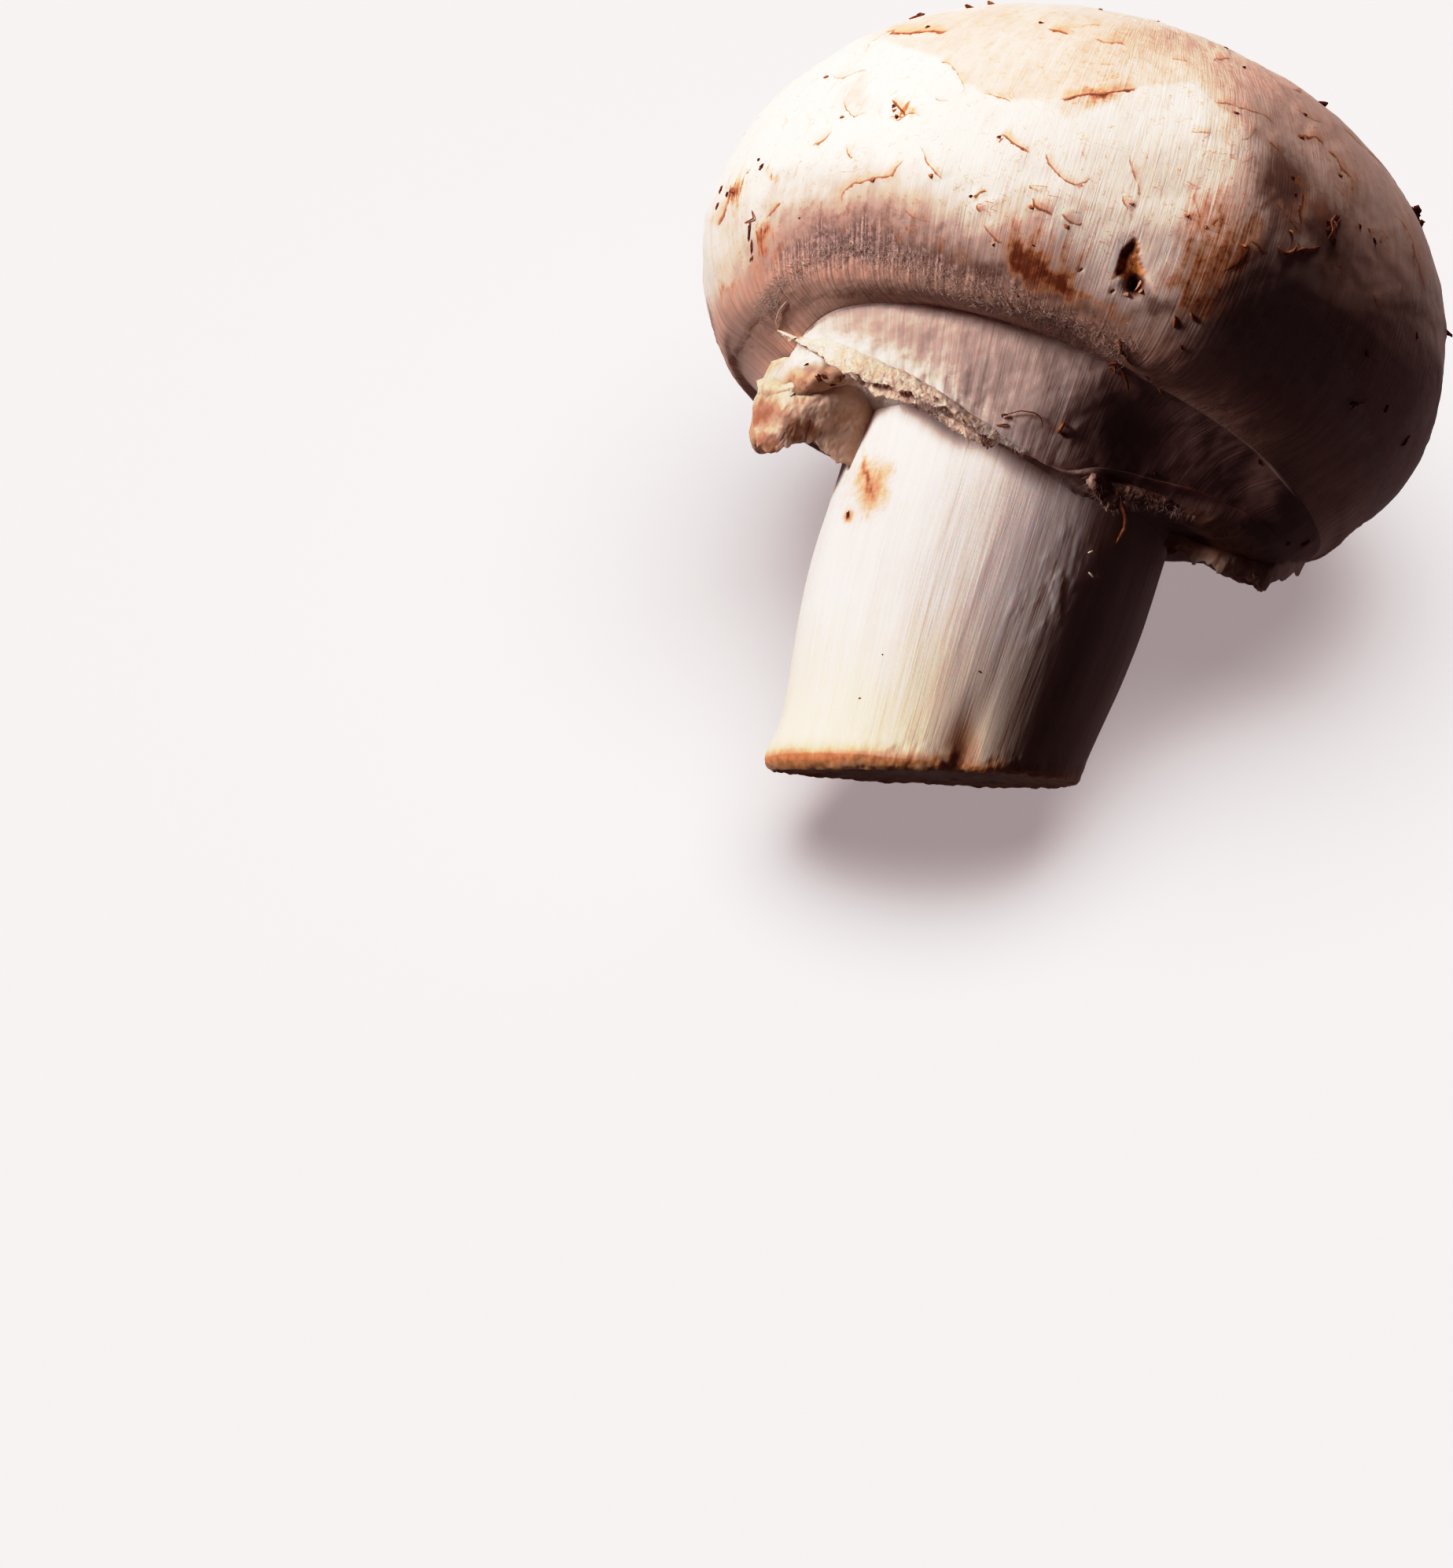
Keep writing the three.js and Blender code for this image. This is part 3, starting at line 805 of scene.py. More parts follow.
SCALE_EDGES = tuple(edge(*row) for row in (
    # Each row: how brown it is, then across and along of its points
    # Left of the crown and over the left shoulder
    (0.8, -17.9, 27.4, -16.6, 27.7, -15.6, 28.1, -14.3, 28.5, -13.4, 28.9),
    (0.35, -14, 26.8, -12.8, 26.6, -11.6, 25.8, -11.4, 25.2, -11.9, 24.8),
    (0.3, -18.6, 25.6, -18.3, 26.6, -17.6, 27.2), (0.35, -4.6, 31.2, -3.6, 31, -2.6, 31.4, -1.8, 31.2),
    (0.3, -6.2, 31.4, -5, 31.9, -3.8, 32.2), (0.3, -3.6, 29.6, -2.9, 29.8, -2.2, 30),
    (0.7, -7.6, 31.1, -7.1, 30.9, -6.4, 31, -5.8, 31),
    (0.95, -5.3, 26.6, -4.7, 26.9, -3.6, 27.3, -2.9, 27.6, -2.1, 28, -1, 28.5, -0.1, 29),
    (0.45, -10.4, 25.5, -9.9, 25.6, -8.8, 25.6, -8.1, 25.5),
    (0.4, -13.3, 24.3, -12.9, 24.1, -12.5, 24.2, -11.9, 24.4), (0.2, -12.7, 26.3, -12.2, 26, -11.5, 25.5),
    (0.4, -20.3, 23.9, -19.9, 23.6, -19.3, 23.8, -18.5, 24.4, -17.9, 25),
    (0.85, -16.1, 23.4, -15.3, 23, -14.8, 22.7, -14.5, 22.3), (0.5, -14.7, 22.4, -14, 22.9, -13.6, 22.9),
    (0.45, -15.2, 21.8, -15, 22.1, -14.6, 22.4),
    (0.5, -19, 22.5, -18.5, 21.8, -17.9, 21.4, -17.6, 21.6, -16.9, 22.3),
    # The white zone in front
    (0.7, -8.4, 23.3, -7.8, 23.2, -7.3, 22.9, -6.5, 22.6, -5.8, 22.6),
    (0.5, -8.3, 22.9, -7.8, 22.8, -6.8, 22.7),
    (0.5, -5.1, 23, -4.6, 22.4, -3.9, 21.9, -3.1, 21.6, -2.3, 21.4, -1.8, 21),
    (0.4, -2.3, 21.5, -1.8, 21.8, -1.4, 22.3), (0.35, 0.3, 24.7, 0.7, 23.9, 1.3, 23.1, 1.7, 22.5, 2, 21.3),
    (0.5, 0.8, 21.8, 1.1, 21.3, 1.6, 20.8), (0.6, -5.3, 20.7, -5.1, 20.2),
    (0.45, -13, 21.1, -12.6, 20.5, -12.2, 20, -11.5, 19.5, -10.8, 19.1),
    (0.5, -20, 18.8, -19.5, 19, -19, 19.8, -18.6, 20.3),
    (0.5, -17.9, 19.5, -17.4, 19, -17.1, 18.7, -16.8, 19.1),
    (0.5, -16.7, 15.4, -16.8, 16.4, -16.4, 17.2, -15.6, 17.7, -14.6, 18.1, -14.1, 18.5, -13.8, 19.3,
     -13.4, 20.3),
    (0.2, -10.4, 19.1, -10, 18.7, -9.6, 19.3, -9.3, 19.7),
    (0.7, -8.7, 18.8, -8.3, 18.6, -8.2, 19, -7.8, 19.5), (0.6, -8.3, 18.3, -7.8, 17.8),
    (0.65, -5.1, 19.8, -4.6, 19.3, -3.9, 19.2, -3.1, 19.1),
    (0.6, -2.7, 19.3, -2.2, 19, -1.7, 18.8, -1.3, 18.9, -0.9, 19.3),
    (0.35, -13, 16.9, -12.5, 16.4, -11.7, 16.1, -11, 16.3, -10.6, 16.2),
    (0.6, -7.5, 17.2, -6.9, 16.7, -6.3, 16.3, -6, 16.2, -5.6, 16.4),
    (0.3, -9.9, 15.6, -9.5, 15.2, -9.2, 15.5), (0.6, -12.3, 15.6, -12.1, 15.2),
    (0.5, -15.4, 15.1, -15.2, 14.3, -15, 13.6), (0.5, -14.5, 15.1, -14.3, 14.3, -13.9, 13.6),
    (0.4, -12.7, 15.1, -12.6, 14.6, -12.4, 14),
    # By the left rim
    (0.5, -23.4, 14.3, -23.4, 15.3, -23.3, 16.3), (0.6, -24.2, 11.7, -24.1, 13, -23.9, 14),
    (0.5, -21.7, 12.5, -21.4, 11.7, -21.1, 10.9, -20.9, 10.6),
    (0.5, -21.4, 13.3, -21.1, 13.6, -20.9, 14.3, -20.8, 14.8), (0.3, -20.4, 16.1, -20.3, 17.2, -20.1, 18.2),
    # Over the crown and its right shoulder
    (0.4, 1, 31.4, 1.6, 31.4, 2.2, 31.4), (0.5, 3.6, 32.2, 4, 32.3, 4.8, 32.6),
    (0.5, 4.2, 29.2, 5.2, 29.2, 6.2, 29.2, 7, 29.3, 7.8, 29.4, 8.6, 29.2, 9.3, 29),
    (0.7, 10.7, 29.2, 11.2, 29, 11.9, 29.1, 12.6, 28.8),
    (0.6, 12.6, 28.8, 13.3, 28.3, 13.8, 27.8, 14.6, 27.3, 15.2, 27.1),
    (0.4, 3.6, 26.8, 4.2, 26.8, 5.2, 27.1), (0.5, 8.6, 27.8, 9.1, 27.6, 9.9, 27.2),
    (0.3, 7.4, 25.6, 7.8, 25.8, 8.1, 26.3, 8.3, 26.4), (0.3, 5.2, 23.4, 5.4, 22.6, 5.6, 21.9, 5.8, 21.7),
    (0.3, 6.1, 21.2, 6.5, 20.5, 6.7, 19.8), (0.7, 6.9, 21.2, 7.1, 21.6, 7.2, 22), (0.6, 9.1, 23.2, 9.4, 23),
    (0.8, 11.9, 25.5, 12, 24.4, 12.2, 23.5, 12.6, 22.8),
    (0.5, 10.1, 23.9, 10.9, 23.4, 11.9, 22.9, 12.6, 22.4),
    (0.6, 12.5, 22.1, 12.9, 21.6, 13.3, 21.3, 13.9, 21.6, 14.3, 21.9),
    (0.7, 9.4, 21, 10.1, 20.9, 10.7, 20.5, 11.1, 20.8),
    (0.45, 18.2, 26, 19, 25.5, 19.3, 25, 20, 24.2, 20.5, 23.4, 21.1, 22.6, 21.8, 21.6, 22.4, 20.8),
    (0.3, 13.5, 29.9, 14.3, 29.6, 15.1, 29.4, 15.9, 28.9, 16.5, 28.5), (0.5, 9.3, 31.8, 9.9, 31.7),
    (0.7, 16.9, 24.4, 17.2, 23.9), (0.7, 17.8, 23.9, 18.2, 23.7), (0.5, 15.6, 21.2, 16.2, 21.4),
    (0.5, 19.1, 16.5, 19.7, 16.2, 20.3, 16.1, 20.7, 16.2), (0.4, 18.5, 20.4, 19, 19.8, 19.3, 19.2),
    (0.4, 12.6, 30.6, 14, 30, 15.6, 29.3, 17.2, 28.3, 18.6, 27.4), (0.35, 9.6, 30.6, 10.6, 30.4, 12, 30.2),
    (0.35, 6.8, 27, 7.4, 27.4, 7.8, 28.2, 7.6, 29), (0.3, 13.6, 26.6, 14.6, 26.2, 15.4, 25.4, 15.8, 24.9),
    (0.35, 5, 22.6, 5.6, 22.4, 6, 21.6, 6.2, 20.6), (0.8, 8.2, 18.4, 9.2, 19.4, 9.7, 20.4, 9.8, 21),
    (0.5, 11.2, 24.6, 11.5, 23.8, 11.6, 23),
))


class Tint(Enum):
    """What colour a blotch adds to the skin."""

    TAN = "tan"
    BROWN = "brown"
    # bruises, and painted shade where the cap turns from the light
    BRUISE_AND_SHADE = "bruise_and_shade"


@dataclass(frozen=True)
class Blotch:
    """A soft coloured patch, as it is seen: its middle, half sizes, strength and tilt in degrees."""

    across: float
    along: float
    wide: float
    high: float
    strength: float
    tilt: float = 0.0

    def on(self, seen: Array) -> Array:
        """How much of it shows.

        Args:
            seen: Where each point is seen.

        Returns:
            A number for each point, up to the blotch's strength.
        """
        c, s = math.cos(math.radians(self.tilt)), math.sin(math.radians(self.tilt))
        dx, dy = seen[:, 0] - self.across, seen[:, 1] - self.along
        away = np.hypot((dx * c + dy * s) / self.wide, (dy * c - dx * s) / self.high)
        return self.strength * bell(away)


# Each row: a Blotch's across, along, half sizes, strength and, where it is tilted, its tilt
CAP_BLOTCHES = {
    Tint.TAN: (
        (-2.5, 31.4, 3.5, 1.6, 0.75), (13, 29, 5, 2.6, 0.7, -30), (7, 28, 2.6, 1.2, 0.6),
        (8.5, 23.5, 2.5, 3, 0.6, 10), (6.5, 21, 1.6, 3, 0.6, 10), (-18, 22.9, 1.3, 1.3, 0.8),
        (-17.6, 28, 2, 0.8, 0.4, 40), (-12, 17.6, 3, 1.6, 0.5), (-13.9, 18.8, 0.7, 1.2, 0.6),
        (-6.2, 18, 0.8, 2.4, 0.6), (-4.4, 17.4, 0.8, 2, 0.7), (-15, 14.8, 3.5, 1.6, 0.5),
        (5.6, 22.6, 0.9, 1.6, 0.6), (7.4, 20.4, 1.2, 3, 0.5), (-23.6, 13.6, 1.2, 4, 0.6),
        (-20.5, 9.6, 2.4, 3.2, 0.7), (5.5, 15.5, 2.4, 1.5, 0.5), (-2.8, 16, 3.6, 1.8, 0.8, -10),
        (10.4, 25.4, 3, 3.4, 1.2, 10), (-3.4, 27.3, 2.6, 0.9, 1, 30), (8.6, 19.6, 2.6, 4, 1.3),
        (-21.5, 6.4, 2.4, 1.8, 0.8), (-22.6, 10, 1.6, 2.4, 0.6),
    ),
    Tint.BROWN: (
        (-4.4, 15.7, 1.1, 0.8, 1.6, -30), (-3.2, 15.2, 1, 0.8, 1.5, -20), (-1.3, 14.8, 1.4, 0.9, 1.6),
        (-5.4, 17, 0.3, 1.5, 0.5), (-3.8, 17.2, 0.35, 1.7, 0.6), (-2.6, 17, 0.3, 1.8, 0.55),
        (-1.5, 16.8, 0.3, 1.6, 0.5), (-0.4, 16.8, 0.35, 1.6, 0.6), (0.6, 14.5, 1.2, 0.6, 0.9),
        (2.9, 14.2, 1.2, 0.5, 0.7), (-9, 14.6, 2.2, 1, 0.35), (-14.4, 14.4, 1, 1.2, 0.35),
        (11.6, 26.2, 0.5, 0.35, 1, -20), (-2.8, 27.7, 1.2, 0.5, 0.9, 35), (7.6, 19.4, 2.2, 3.6, 0.8, 8),
        (9.4, 20.4, 0.7, 1.8, 1.2, 12), (7.6, 16.6, 1.6, 1.2, 0.9, 8), (6.4, 22.6, 0.6, 1.4, 0.6, -20),
        (6, 17.4, 1.6, 1, 0.8, 30), (8.4, 16.4, 1.4, 0.8, 0.7, 15), (9.6, 22, 0.8, 1.2, 0.5),
        (12.4, 23.4, 0.8, 1.6, 0.6, 20), (13, 24.4, 1.6, 1, 0.35), (15, 27.2, 1.6, 0.8, 0.4, -30),
        (-14.6, 22.7, 0.45, 0.4, 0.9), (-8.4, 18.7, 0.3, 0.3, 0.8), (-23.9, 14.3, 0.6, 0.8, 0.9),
        (-22.3, 7.8, 0.7, 0.6, 0.9), (-20.6, 9.4, 0.5, 2, 0.55, 20), (-19.4, 10.6, 0.5, 1.6, 0.5, 30),
        (-21.9, 16.5, 0.6, 0.4, 0.8, 30), (-21.1, 11.6, 0.45, 1.2, 1, 12),
    ),
    # The first two are the bruise on the right shoulder; the others are painted shade, on the right where
    # the cap turns from the light and in the band under the rim
    Tint.BRUISE_AND_SHADE: (
        (10.6, 25.6, 2.2, 2.7, 1.15, 10), (14.4, 23.8, 2.2, 2.8, 0.9, 30), (6.8, 19, 0.9, 2.4, 0.55, 10),
        (4.9, 15.5, 1.8, 0.8, 0.9, -10), (10, 16.6, 3, 3.4, 1, -20), (-8, 13.4, 5.6, 1.5, 1.2, -3),
        (-1.5, 13.1, 5, 1.5, 1.3, -4), (-14.5, 13.4, 2.6, 1, 0.5, 20),
    ),
}


def beside(path: tuple, across: Array, along: Array) -> tuple:
    """How points lie beside a path.

    Args:
        path: Points of across and along, in the path's order.
        across: Of the points.
        along: Of the points.

    Returns:
        The distance, above zero on the path's left, and the share of the path passed by.
    """
    corners = np.array(path, float)
    spans = np.hypot(*np.diff(corners, axis=0).T)
    starts = np.concatenate([[0], np.cumsum(spans)])
    nearest = np.full(across.shape, np.inf)
    side, share = np.ones(across.shape), np.zeros(across.shape)
    for (x, y), (dx, dy), span, start in zip(corners, np.diff(corners, axis=0), spans, starts):
        t = np.clip(((across - x) * dx + (along - y) * dy) / span**2, 0, 1)
        off_x, off_y = across - x - t * dx, along - y - t * dy
        far = np.hypot(off_x, off_y)
        closer = far < nearest
        nearest = np.where(closer, far, nearest)
        side = np.where(closer, np.sign(dx * off_y - dy * off_x), side)
        share = np.where(closer, (start + t * span) / starts[-1], share)
    return nearest * side, share


# --- The cap ---

@dataclass
class Cap:
    """The cap: its crown, its scaly skin and its inrolled rim."""

    rings: int = 480
    inroll_rows: int = 30
    side_rows: int = 36
    crown_rows: int = 126
    tucked: tuple = (-0.6, 2.0)  # out and up from the crease to the row hidden in the flesh
    core: float = 10.0  # the height of its hidden end on the axis
    rim_crowd: float = 1.15  # above 1 puts the rim's rows closer together towards the crease
    rim_rounds: int = 130
    rim_least: float = 0.35  # how far the rim is rolled at its back, up to 1 at these fronts
    rim_fronts: tuple = ((-50, 80), (20, 60))  # the turn and half width of each, in degrees
    # Where the skin ends over the fuzzy rim, as it is seen
    skin_end: tuple = (
        (-19.3, 7.8), (-18.8, 9.9), (-18.5, 12.2), (-17.4, 13.8), (-15.6, 14.7), (-13.0, 14.6),
        (-10.4, 13.9), (-7.8, 13.6), (-5.2, 13.6), (-3.1, 13.4), (0, 12.7), (3.1, 12.5), (6.2, 12.2),
        (10.4, 11.7), (15.6, 10.4), (20.8, 7.3),
    )
    # Above this line the old crown is tanned, as it is seen
    crown_edge: tuple = (
        (-22.0, 24.6), (-19.5, 26.2), (-18.2, 26.8), (-14.0, 26.7), (-11.6, 25.7), (-10.4, 25.3),
        (-7.8, 25.6), (-5.7, 26.3), (-3.1, 27.4), (-0.1, 29.0), (3.1, 29.9), (4.6, 28.8), (8.3, 27.2),
        (12.0, 24.0), (15.0, 20.0),
    )
    crown_tan: float = 0.85
    skin_thick: float = 0.08
    # Rows of drawn scales: height, how many go round, and their width in degrees
    scale_rows: tuple = (
        (31.2, 6, 62), (28.4, 10, 38), (25.2, 13, 29), (21.6, 16, 24), (17.6, 18, 21), (13.4, 18, 21),
    )
    scale_seed: int = 7
    scale_lift: float = 0.11
    scale_run: float = 3.2
    scale_step: float = 0.5
    scale_seen: float = 0.3  # the share of the drawn scales' lift that is left in front
    edge_reach: float = 12.0  # how far from its first point a listed edge is looked for
    skin_set_back: float = 0.15
    ridge: tuple = ((7.4, 14.5), (8.8, 19.0), (9.2, 23.5), (7.4, 27.5))  # a blunt ridge, as it is seen
    ridge_height: float = 0.75
    ridge_half: float = 4.6
    bruise_and_shade: tuple = (24.0, 24.5, 5.5, 5.5, 0.45)  # the bruise's dent: turn, height, half width, half length, depth
    # Round the torn pit by the rim, as it is seen
    torn_edge: tuple = (
        (2.35, 19.15), (2.1, 18.6), (1.85, 18.2), (1.9, 17.4), (1.95, 16.4), (2.6, 16.5), (3.0, 16.2),
        (3.1, 15.8), (3.7, 15.6), (3.95, 16.2), (3.7, 17.1), (3.5, 17.6), (3.15, 18.0), (2.95, 18.6),
        (2.7, 19.1), (2.35, 19.15),
    )
    torn_depth: float = 0.38
    shaded_hole: tuple = (3.4, 16.25, 0.63, 0.75)  # the deep hole in it, painted with its shade: across, along and half sizes
    void_depth: float = 0.8

    def outline(self, turns: Array) -> Array:
        """The cap's outline, from inside the flesh out over the rim to the crown.

        Args:
            turns: The turns at which it is wanted.

        Returns:
            An array of turn, row, and radius and height.
        """
        places = np.linspace(Key.CREASE.value, Key.SIDE.value, self.inroll_rows)
        under = GROWTH.curve(turns, places)
        lowest = GROWTH.lowest_rise(turns)[:, None]
        side = GROWTH.dome(lowest * (1 - np.arange(1, self.side_rows + 1) / self.side_rows)[None, :])
        crown = GROWTH.dome(np.linspace(0, 90, self.crown_rows + 1)[1:])
        crown[-1, 0] = 0
        crown = np.broadcast_to(crown, (len(turns), *crown.shape))
        under, side = self.soften(turns, under, side)
        axis = np.broadcast_to([0.0, self.core], (len(turns), 1, 2))
        inside = under[:, :1] + np.array(self.tucked)
        return np.concatenate([axis, inside, under, side, crown], axis=1)

    def soften(self, turns: Array, under: Array, side: Array) -> tuple:
        """Rounds the rim, most of all at the front, and spaces its rows evenly.

        Args:
            turns: The turn of each profile.
            under: The profiles' points from the crease to the side.
            side: Their points from there up to the widest ring.

        Returns:
            Both, with the rim's corner rolled over.
        """
        whole = np.concatenate([under, side], axis=1)
        count = whole.shape[1]
        for k, profile in enumerate(whole):
            reach = np.concatenate([[0], np.cumsum(np.hypot(*np.diff(profile, axis=0).T))])
            share = np.linspace(0, 1, count) ** self.rim_crowd * reach[-1]
            whole[k] = np.stack([np.interp(share, reach, axis) for axis in profile.T], axis=-1)
        rolled = whole.copy()
        for _ in range(self.rim_rounds):
            rolled[:, 1:-1] = (rolled[:, :-2] + 2 * rolled[:, 1:-1] + rolled[:, 2:]) / 4
        fronts = [bell(turn_between(turns, turn) / half) for turn, half in self.rim_fronts]
        share = self.rim_least + (1 - self.rim_least) * np.maximum(*fronts)
        whole += (rolled - whole) * share[:, None, None]
        return whole[:, :under.shape[1]], whole[:, under.shape[1]:]

    def seeded_scales(self, turn: Array, height: Array) -> tuple:
        """Rows of scales like shingles, drawn by a seed.

        Args:
            turn: Of each point.
            height: Of each point.

        Returns:
            How far they lift the skin, the distance above the nearest free edge, and its tone.
        """
        lift, tone = np.zeros(turn.shape), np.zeros(turn.shape)
        nearest = np.full(turn.shape, 9.0)
        angle = np.radians(turn)
        spots = joined(np.sin(angle) * 25, height, np.cos(angle) * 25)
        turn = turn + 5.0 * grain(spots, 7.0, 3) + 1.5 * grain(spots + 30, 1.6, 3)
        height = height + 1.6 * grain(spots + 60, 5.0, 3) + 0.45 * grain(spots + 90, 1.5, 3)
        broken = smoothstep(grain(spots + 120, 4.0, 3), -0.15, 0.3)
        half = self.scale_step / 2
        for r, (level, count, width) in enumerate(self.scale_rows):
            pitch = FULL_TURN / count
            stagger = draw(self.scale_seed, r) * pitch
            index = np.rint((turn - stagger) / pitch)
            for k in (index - 1, index, index + 1):
                chance = draw(self.scale_seed + r, k % count)
                middle = stagger + (k + 0.25 * (2 * chance - 1)) * pitch
                aside = np.abs(turn_between(turn, middle)) / (width / 2)
                above = height - level - 1.4 * (chance - 0.5) - 1.3 * aside * aside
                sides = 1 - smoothstep(aside, 0.6, 1)
                back = 1 - smoothstep(above, half, self.scale_run)
                stand = smoothstep(above, -half, half) * back * sides
                lift = np.maximum(lift, (1 + chance) / 2 * stand)
                closer = (np.abs(above) < np.abs(nearest)) & (sides > 0)
                nearest = np.where(closer, above, nearest)
                tone = np.where(closer, chance * sides, tone)
        return self.scale_lift * lift, nearest, tone * broken

    def raise_edges(self, across: Array, along: Array, facing: Array, lift: Array,
                    gap: Array, tone: Array) -> None:
        """Adds the listed scale edges to the drawn ones.

        Args:
            across: Where each point is seen, strayed a little.
            along: The same, up the stalk.
            facing: How far each point faces the viewer.
            lift: How far the skin is lifted, which changes.
            gap: The distance above the nearest free edge, which changes.
            tone: How brown that edge is, which changes.
        """
        for mark in SCALE_EDGES:
            x, y = mark.path[0]
            near = (np.abs(across - x) < self.edge_reach) & (np.abs(along - y) < self.edge_reach)
            where = np.flatnonzero(near & (facing > 0))
            off, share = beside(mark.path, across[where], along[where])
            ends = smoothstep(share, 0, 0.25) * (1 - smoothstep(share, 0.75, 1))
            held = (smoothstep(share, 0.0, 0.2) * (1 - smoothstep(share, 0.8, 1))) ** 0.6
            stand = np.where(off > 0, bell(off / mark.run), 1 - smoothstep(-off, 0, 0.2))
            groove = 0.3 * bell((off + 0.2) / 0.2)
            lift[where] = np.maximum(lift[where], mark.lift * ends * (stand - groove))
            strength = mark.tone * held
            stronger = strength * bell(off / 0.5) > tone[where] * bell(gap[where] / 0.5)
            gap[where] = np.where(stronger, off, gap[where])
            tone[where] = np.where(stronger, strength, tone[where])

    def torn(self, seen: Array, rough: Array) -> tuple:
        """How far inside the torn pit each point is.

        Args:
            seen: Where each point is seen.
            rough: A noise that roughens the pit's edge.

        Returns:
            The shares of its colour and of its depth, from 0 outside to 1.
        """
        inside = beside(self.torn_edge, seen[:, 0] + 0.05 * rough, seen[:, 1])[0]
        near = np.hypot(seen[:, 0] - self.shaded_hole[0], seen[:, 1] - self.shaded_hole[1]) < 5
        shares = smoothstep(inside, -0.1, 0.04), smoothstep(inside, 0.0, 0.3)
        return tuple(np.where(near, share, 0) for share in shares)

    def above_end(self, seen: Array, wander: Array) -> Array:
        """How far above the skin's ragged end each point is.

        Args:
            seen: Where each point is seen.
            wander: A noise that roughens the end.

        Returns:
            The distance in millimetres, as it is seen.
        """
        level = np.zeros(len(seen))
        tongues = grain(joined(seen[:, 0], seen[:, 1] * 0.35, level), 0.55, 3)
        broad = grain(joined(seen[:, 0], seen[:, 1] * 0.5, level + 9), 2.2, 2)
        above = beside(self.skin_end, seen[:, 0], seen[:, 1])[0]
        return above + 0.8 * tongues + 0.9 * broad + 0.25 * wander

    def stain(self, skin: Skin, seen: Array, front: Array, wander: Array) -> None:
        """Notes how tanned and brown each point is, and how far it is bruised or painted with shade.

        Args:
            skin: The cap.
            seen: Where each point is seen.
            front: Whether it is seen at all, from 0 to 1.
            wander: A noise that roughens the crown's edge.
        """
        ragged = seen.copy()
        ragged[:, 0] += 0.45 * grain(skin.upright * np.array([1, 0.5, 1]) + 70, 0.9, 4)
        ragged[:, 1] += 0.9 * grain(skin.upright * np.array([1, 0.4, 1]) + 90, 1.1, 4)
        inside = beside(self.crown_edge, ragged[:, 0], seen[:, 1] + 0.15 * wander)[0]
        crown = self.crown_tan * smoothstep(inside, -0.05, 0.5) * front
        for tint in Tint:
            total = crown if tint == Tint.TAN else np.zeros(len(seen))
            for blotch in CAP_BLOTCHES[tint]:
                total = np.maximum(total, Blotch(*blotch).on(ragged) * front)
            skin.note(tint.value, total)

    def build(self) -> Skin:
        """Meshes the cap and moves its points for scales, tears, bruises and fuzz.

        Returns:
            The cap, with the numbers that its finish reads.
        """
        skin = lathe("cap", self.outline, self.rings)
        dome_row = 2 + self.inroll_rows
        turn, (x, height, z) = skin.turn, skin.upright.T
        on_cap = smoothstep(skin.row, dome_row - 10, dome_row + 12)
        off_top = smoothstep(np.hypot(x, z), 3, 9)
        rise = np.maximum(0, (height - GROWTH.cap_height) / GROWTH.crown_rise)

        seen, facing = skin.seen(), skin.facing()
        front = smoothstep(facing, 0.0, 0.3)
        lift, gap, tone = self.seeded_scales(turn, height)
        lift = lift * (1 - (1 - self.scale_seen) * front) * off_top
        tone = 0.85 * tone * off_top * (1 - front)
        wander = grain(skin.upright, 1.1)
        stray = grain(skin.upright + 40, 1.4)
        across, along = seen[:, 0] + 0.16 * wander, seen[:, 1] + 0.16 * stray
        self.raise_edges(across, along, facing, lift, gap, tone)

        b_turn, b_height, b_wide, b_long, b_deep = self.bruise_and_shade
        aside = np.radians(turn_between(turn, b_turn)) * GROWTH.cap_radius
        bruise_and_shade = -b_deep * bell(np.hypot(aside / b_wide, (height - b_height) / b_long))
        wound, sunk = (share * front for share in self.torn(seen, wander))
        shaded_hole = oval(seen, *self.shaded_hole) * front
        pit = -self.torn_depth * sunk - self.void_depth * shaded_hole
        swell = 0.16 * grain(skin.upright + 9, 6.0, 2) + 0.035 * wander
        ridge = np.abs(beside(self.ridge, seen[:, 0], seen[:, 1])[0])
        swell += self.ridge_height * bell(ridge / self.ridge_half) * front
        above = self.above_end(seen, wander)
        bare = (1 - smoothstep(above, -1.0, 1.3)) * front
        margin = np.maximum(bare, (1 - smoothstep(height, 6.5, 9.0)) * (1 - front))
        inroll = 1 - smoothstep(height + 0.5 * stray, 5.4, 7.6)
        fuzz = 0.09 * margin * (1 - 0.6 * inroll) * grain(skin.upright + 3, 0.45, 3)
        fuzz -= self.skin_thick * bare
        stand = on_cap * off_top * (lift - self.skin_set_back + bruise_and_shade) + on_cap * pit
        stand += (swell + fuzz) * smoothstep(skin.row, 3, 12) - 0.03 * on_cap

        shifted = skin.upright.copy()
        shifted[:, 0] += on_cap * (GROWTH.cap_shift + (GROWTH.crown_shift - GROWTH.cap_shift) * rise)
        skin.move(LAY.down(shifted) + skin.normals() * stand[:, None] * MM)

        skin.note("edge_gap", np.clip(gap, -3, 3))
        skin.note("edge_tone", tone)
        skin.note("wound", wound)
        dark = smoothstep(seen[:, 1] + 0.4 * stray, 17.8, 18.2)  # painted shade at the pit's upper end
        skin.note("shaded_hole", np.maximum(shaded_hole, 0.5 * wound * dark))
        # the bare margin, whose colour is partly painted shade
        skin.note("margin", margin)
        skin.note("inroll", inroll)
        skin.note("above_end", np.where(front > 0.5, np.clip(above, -3, 6), 6))
        self.stain(skin, seen, front, wander)
        skin.note("behind", 1 - front)
        return skin


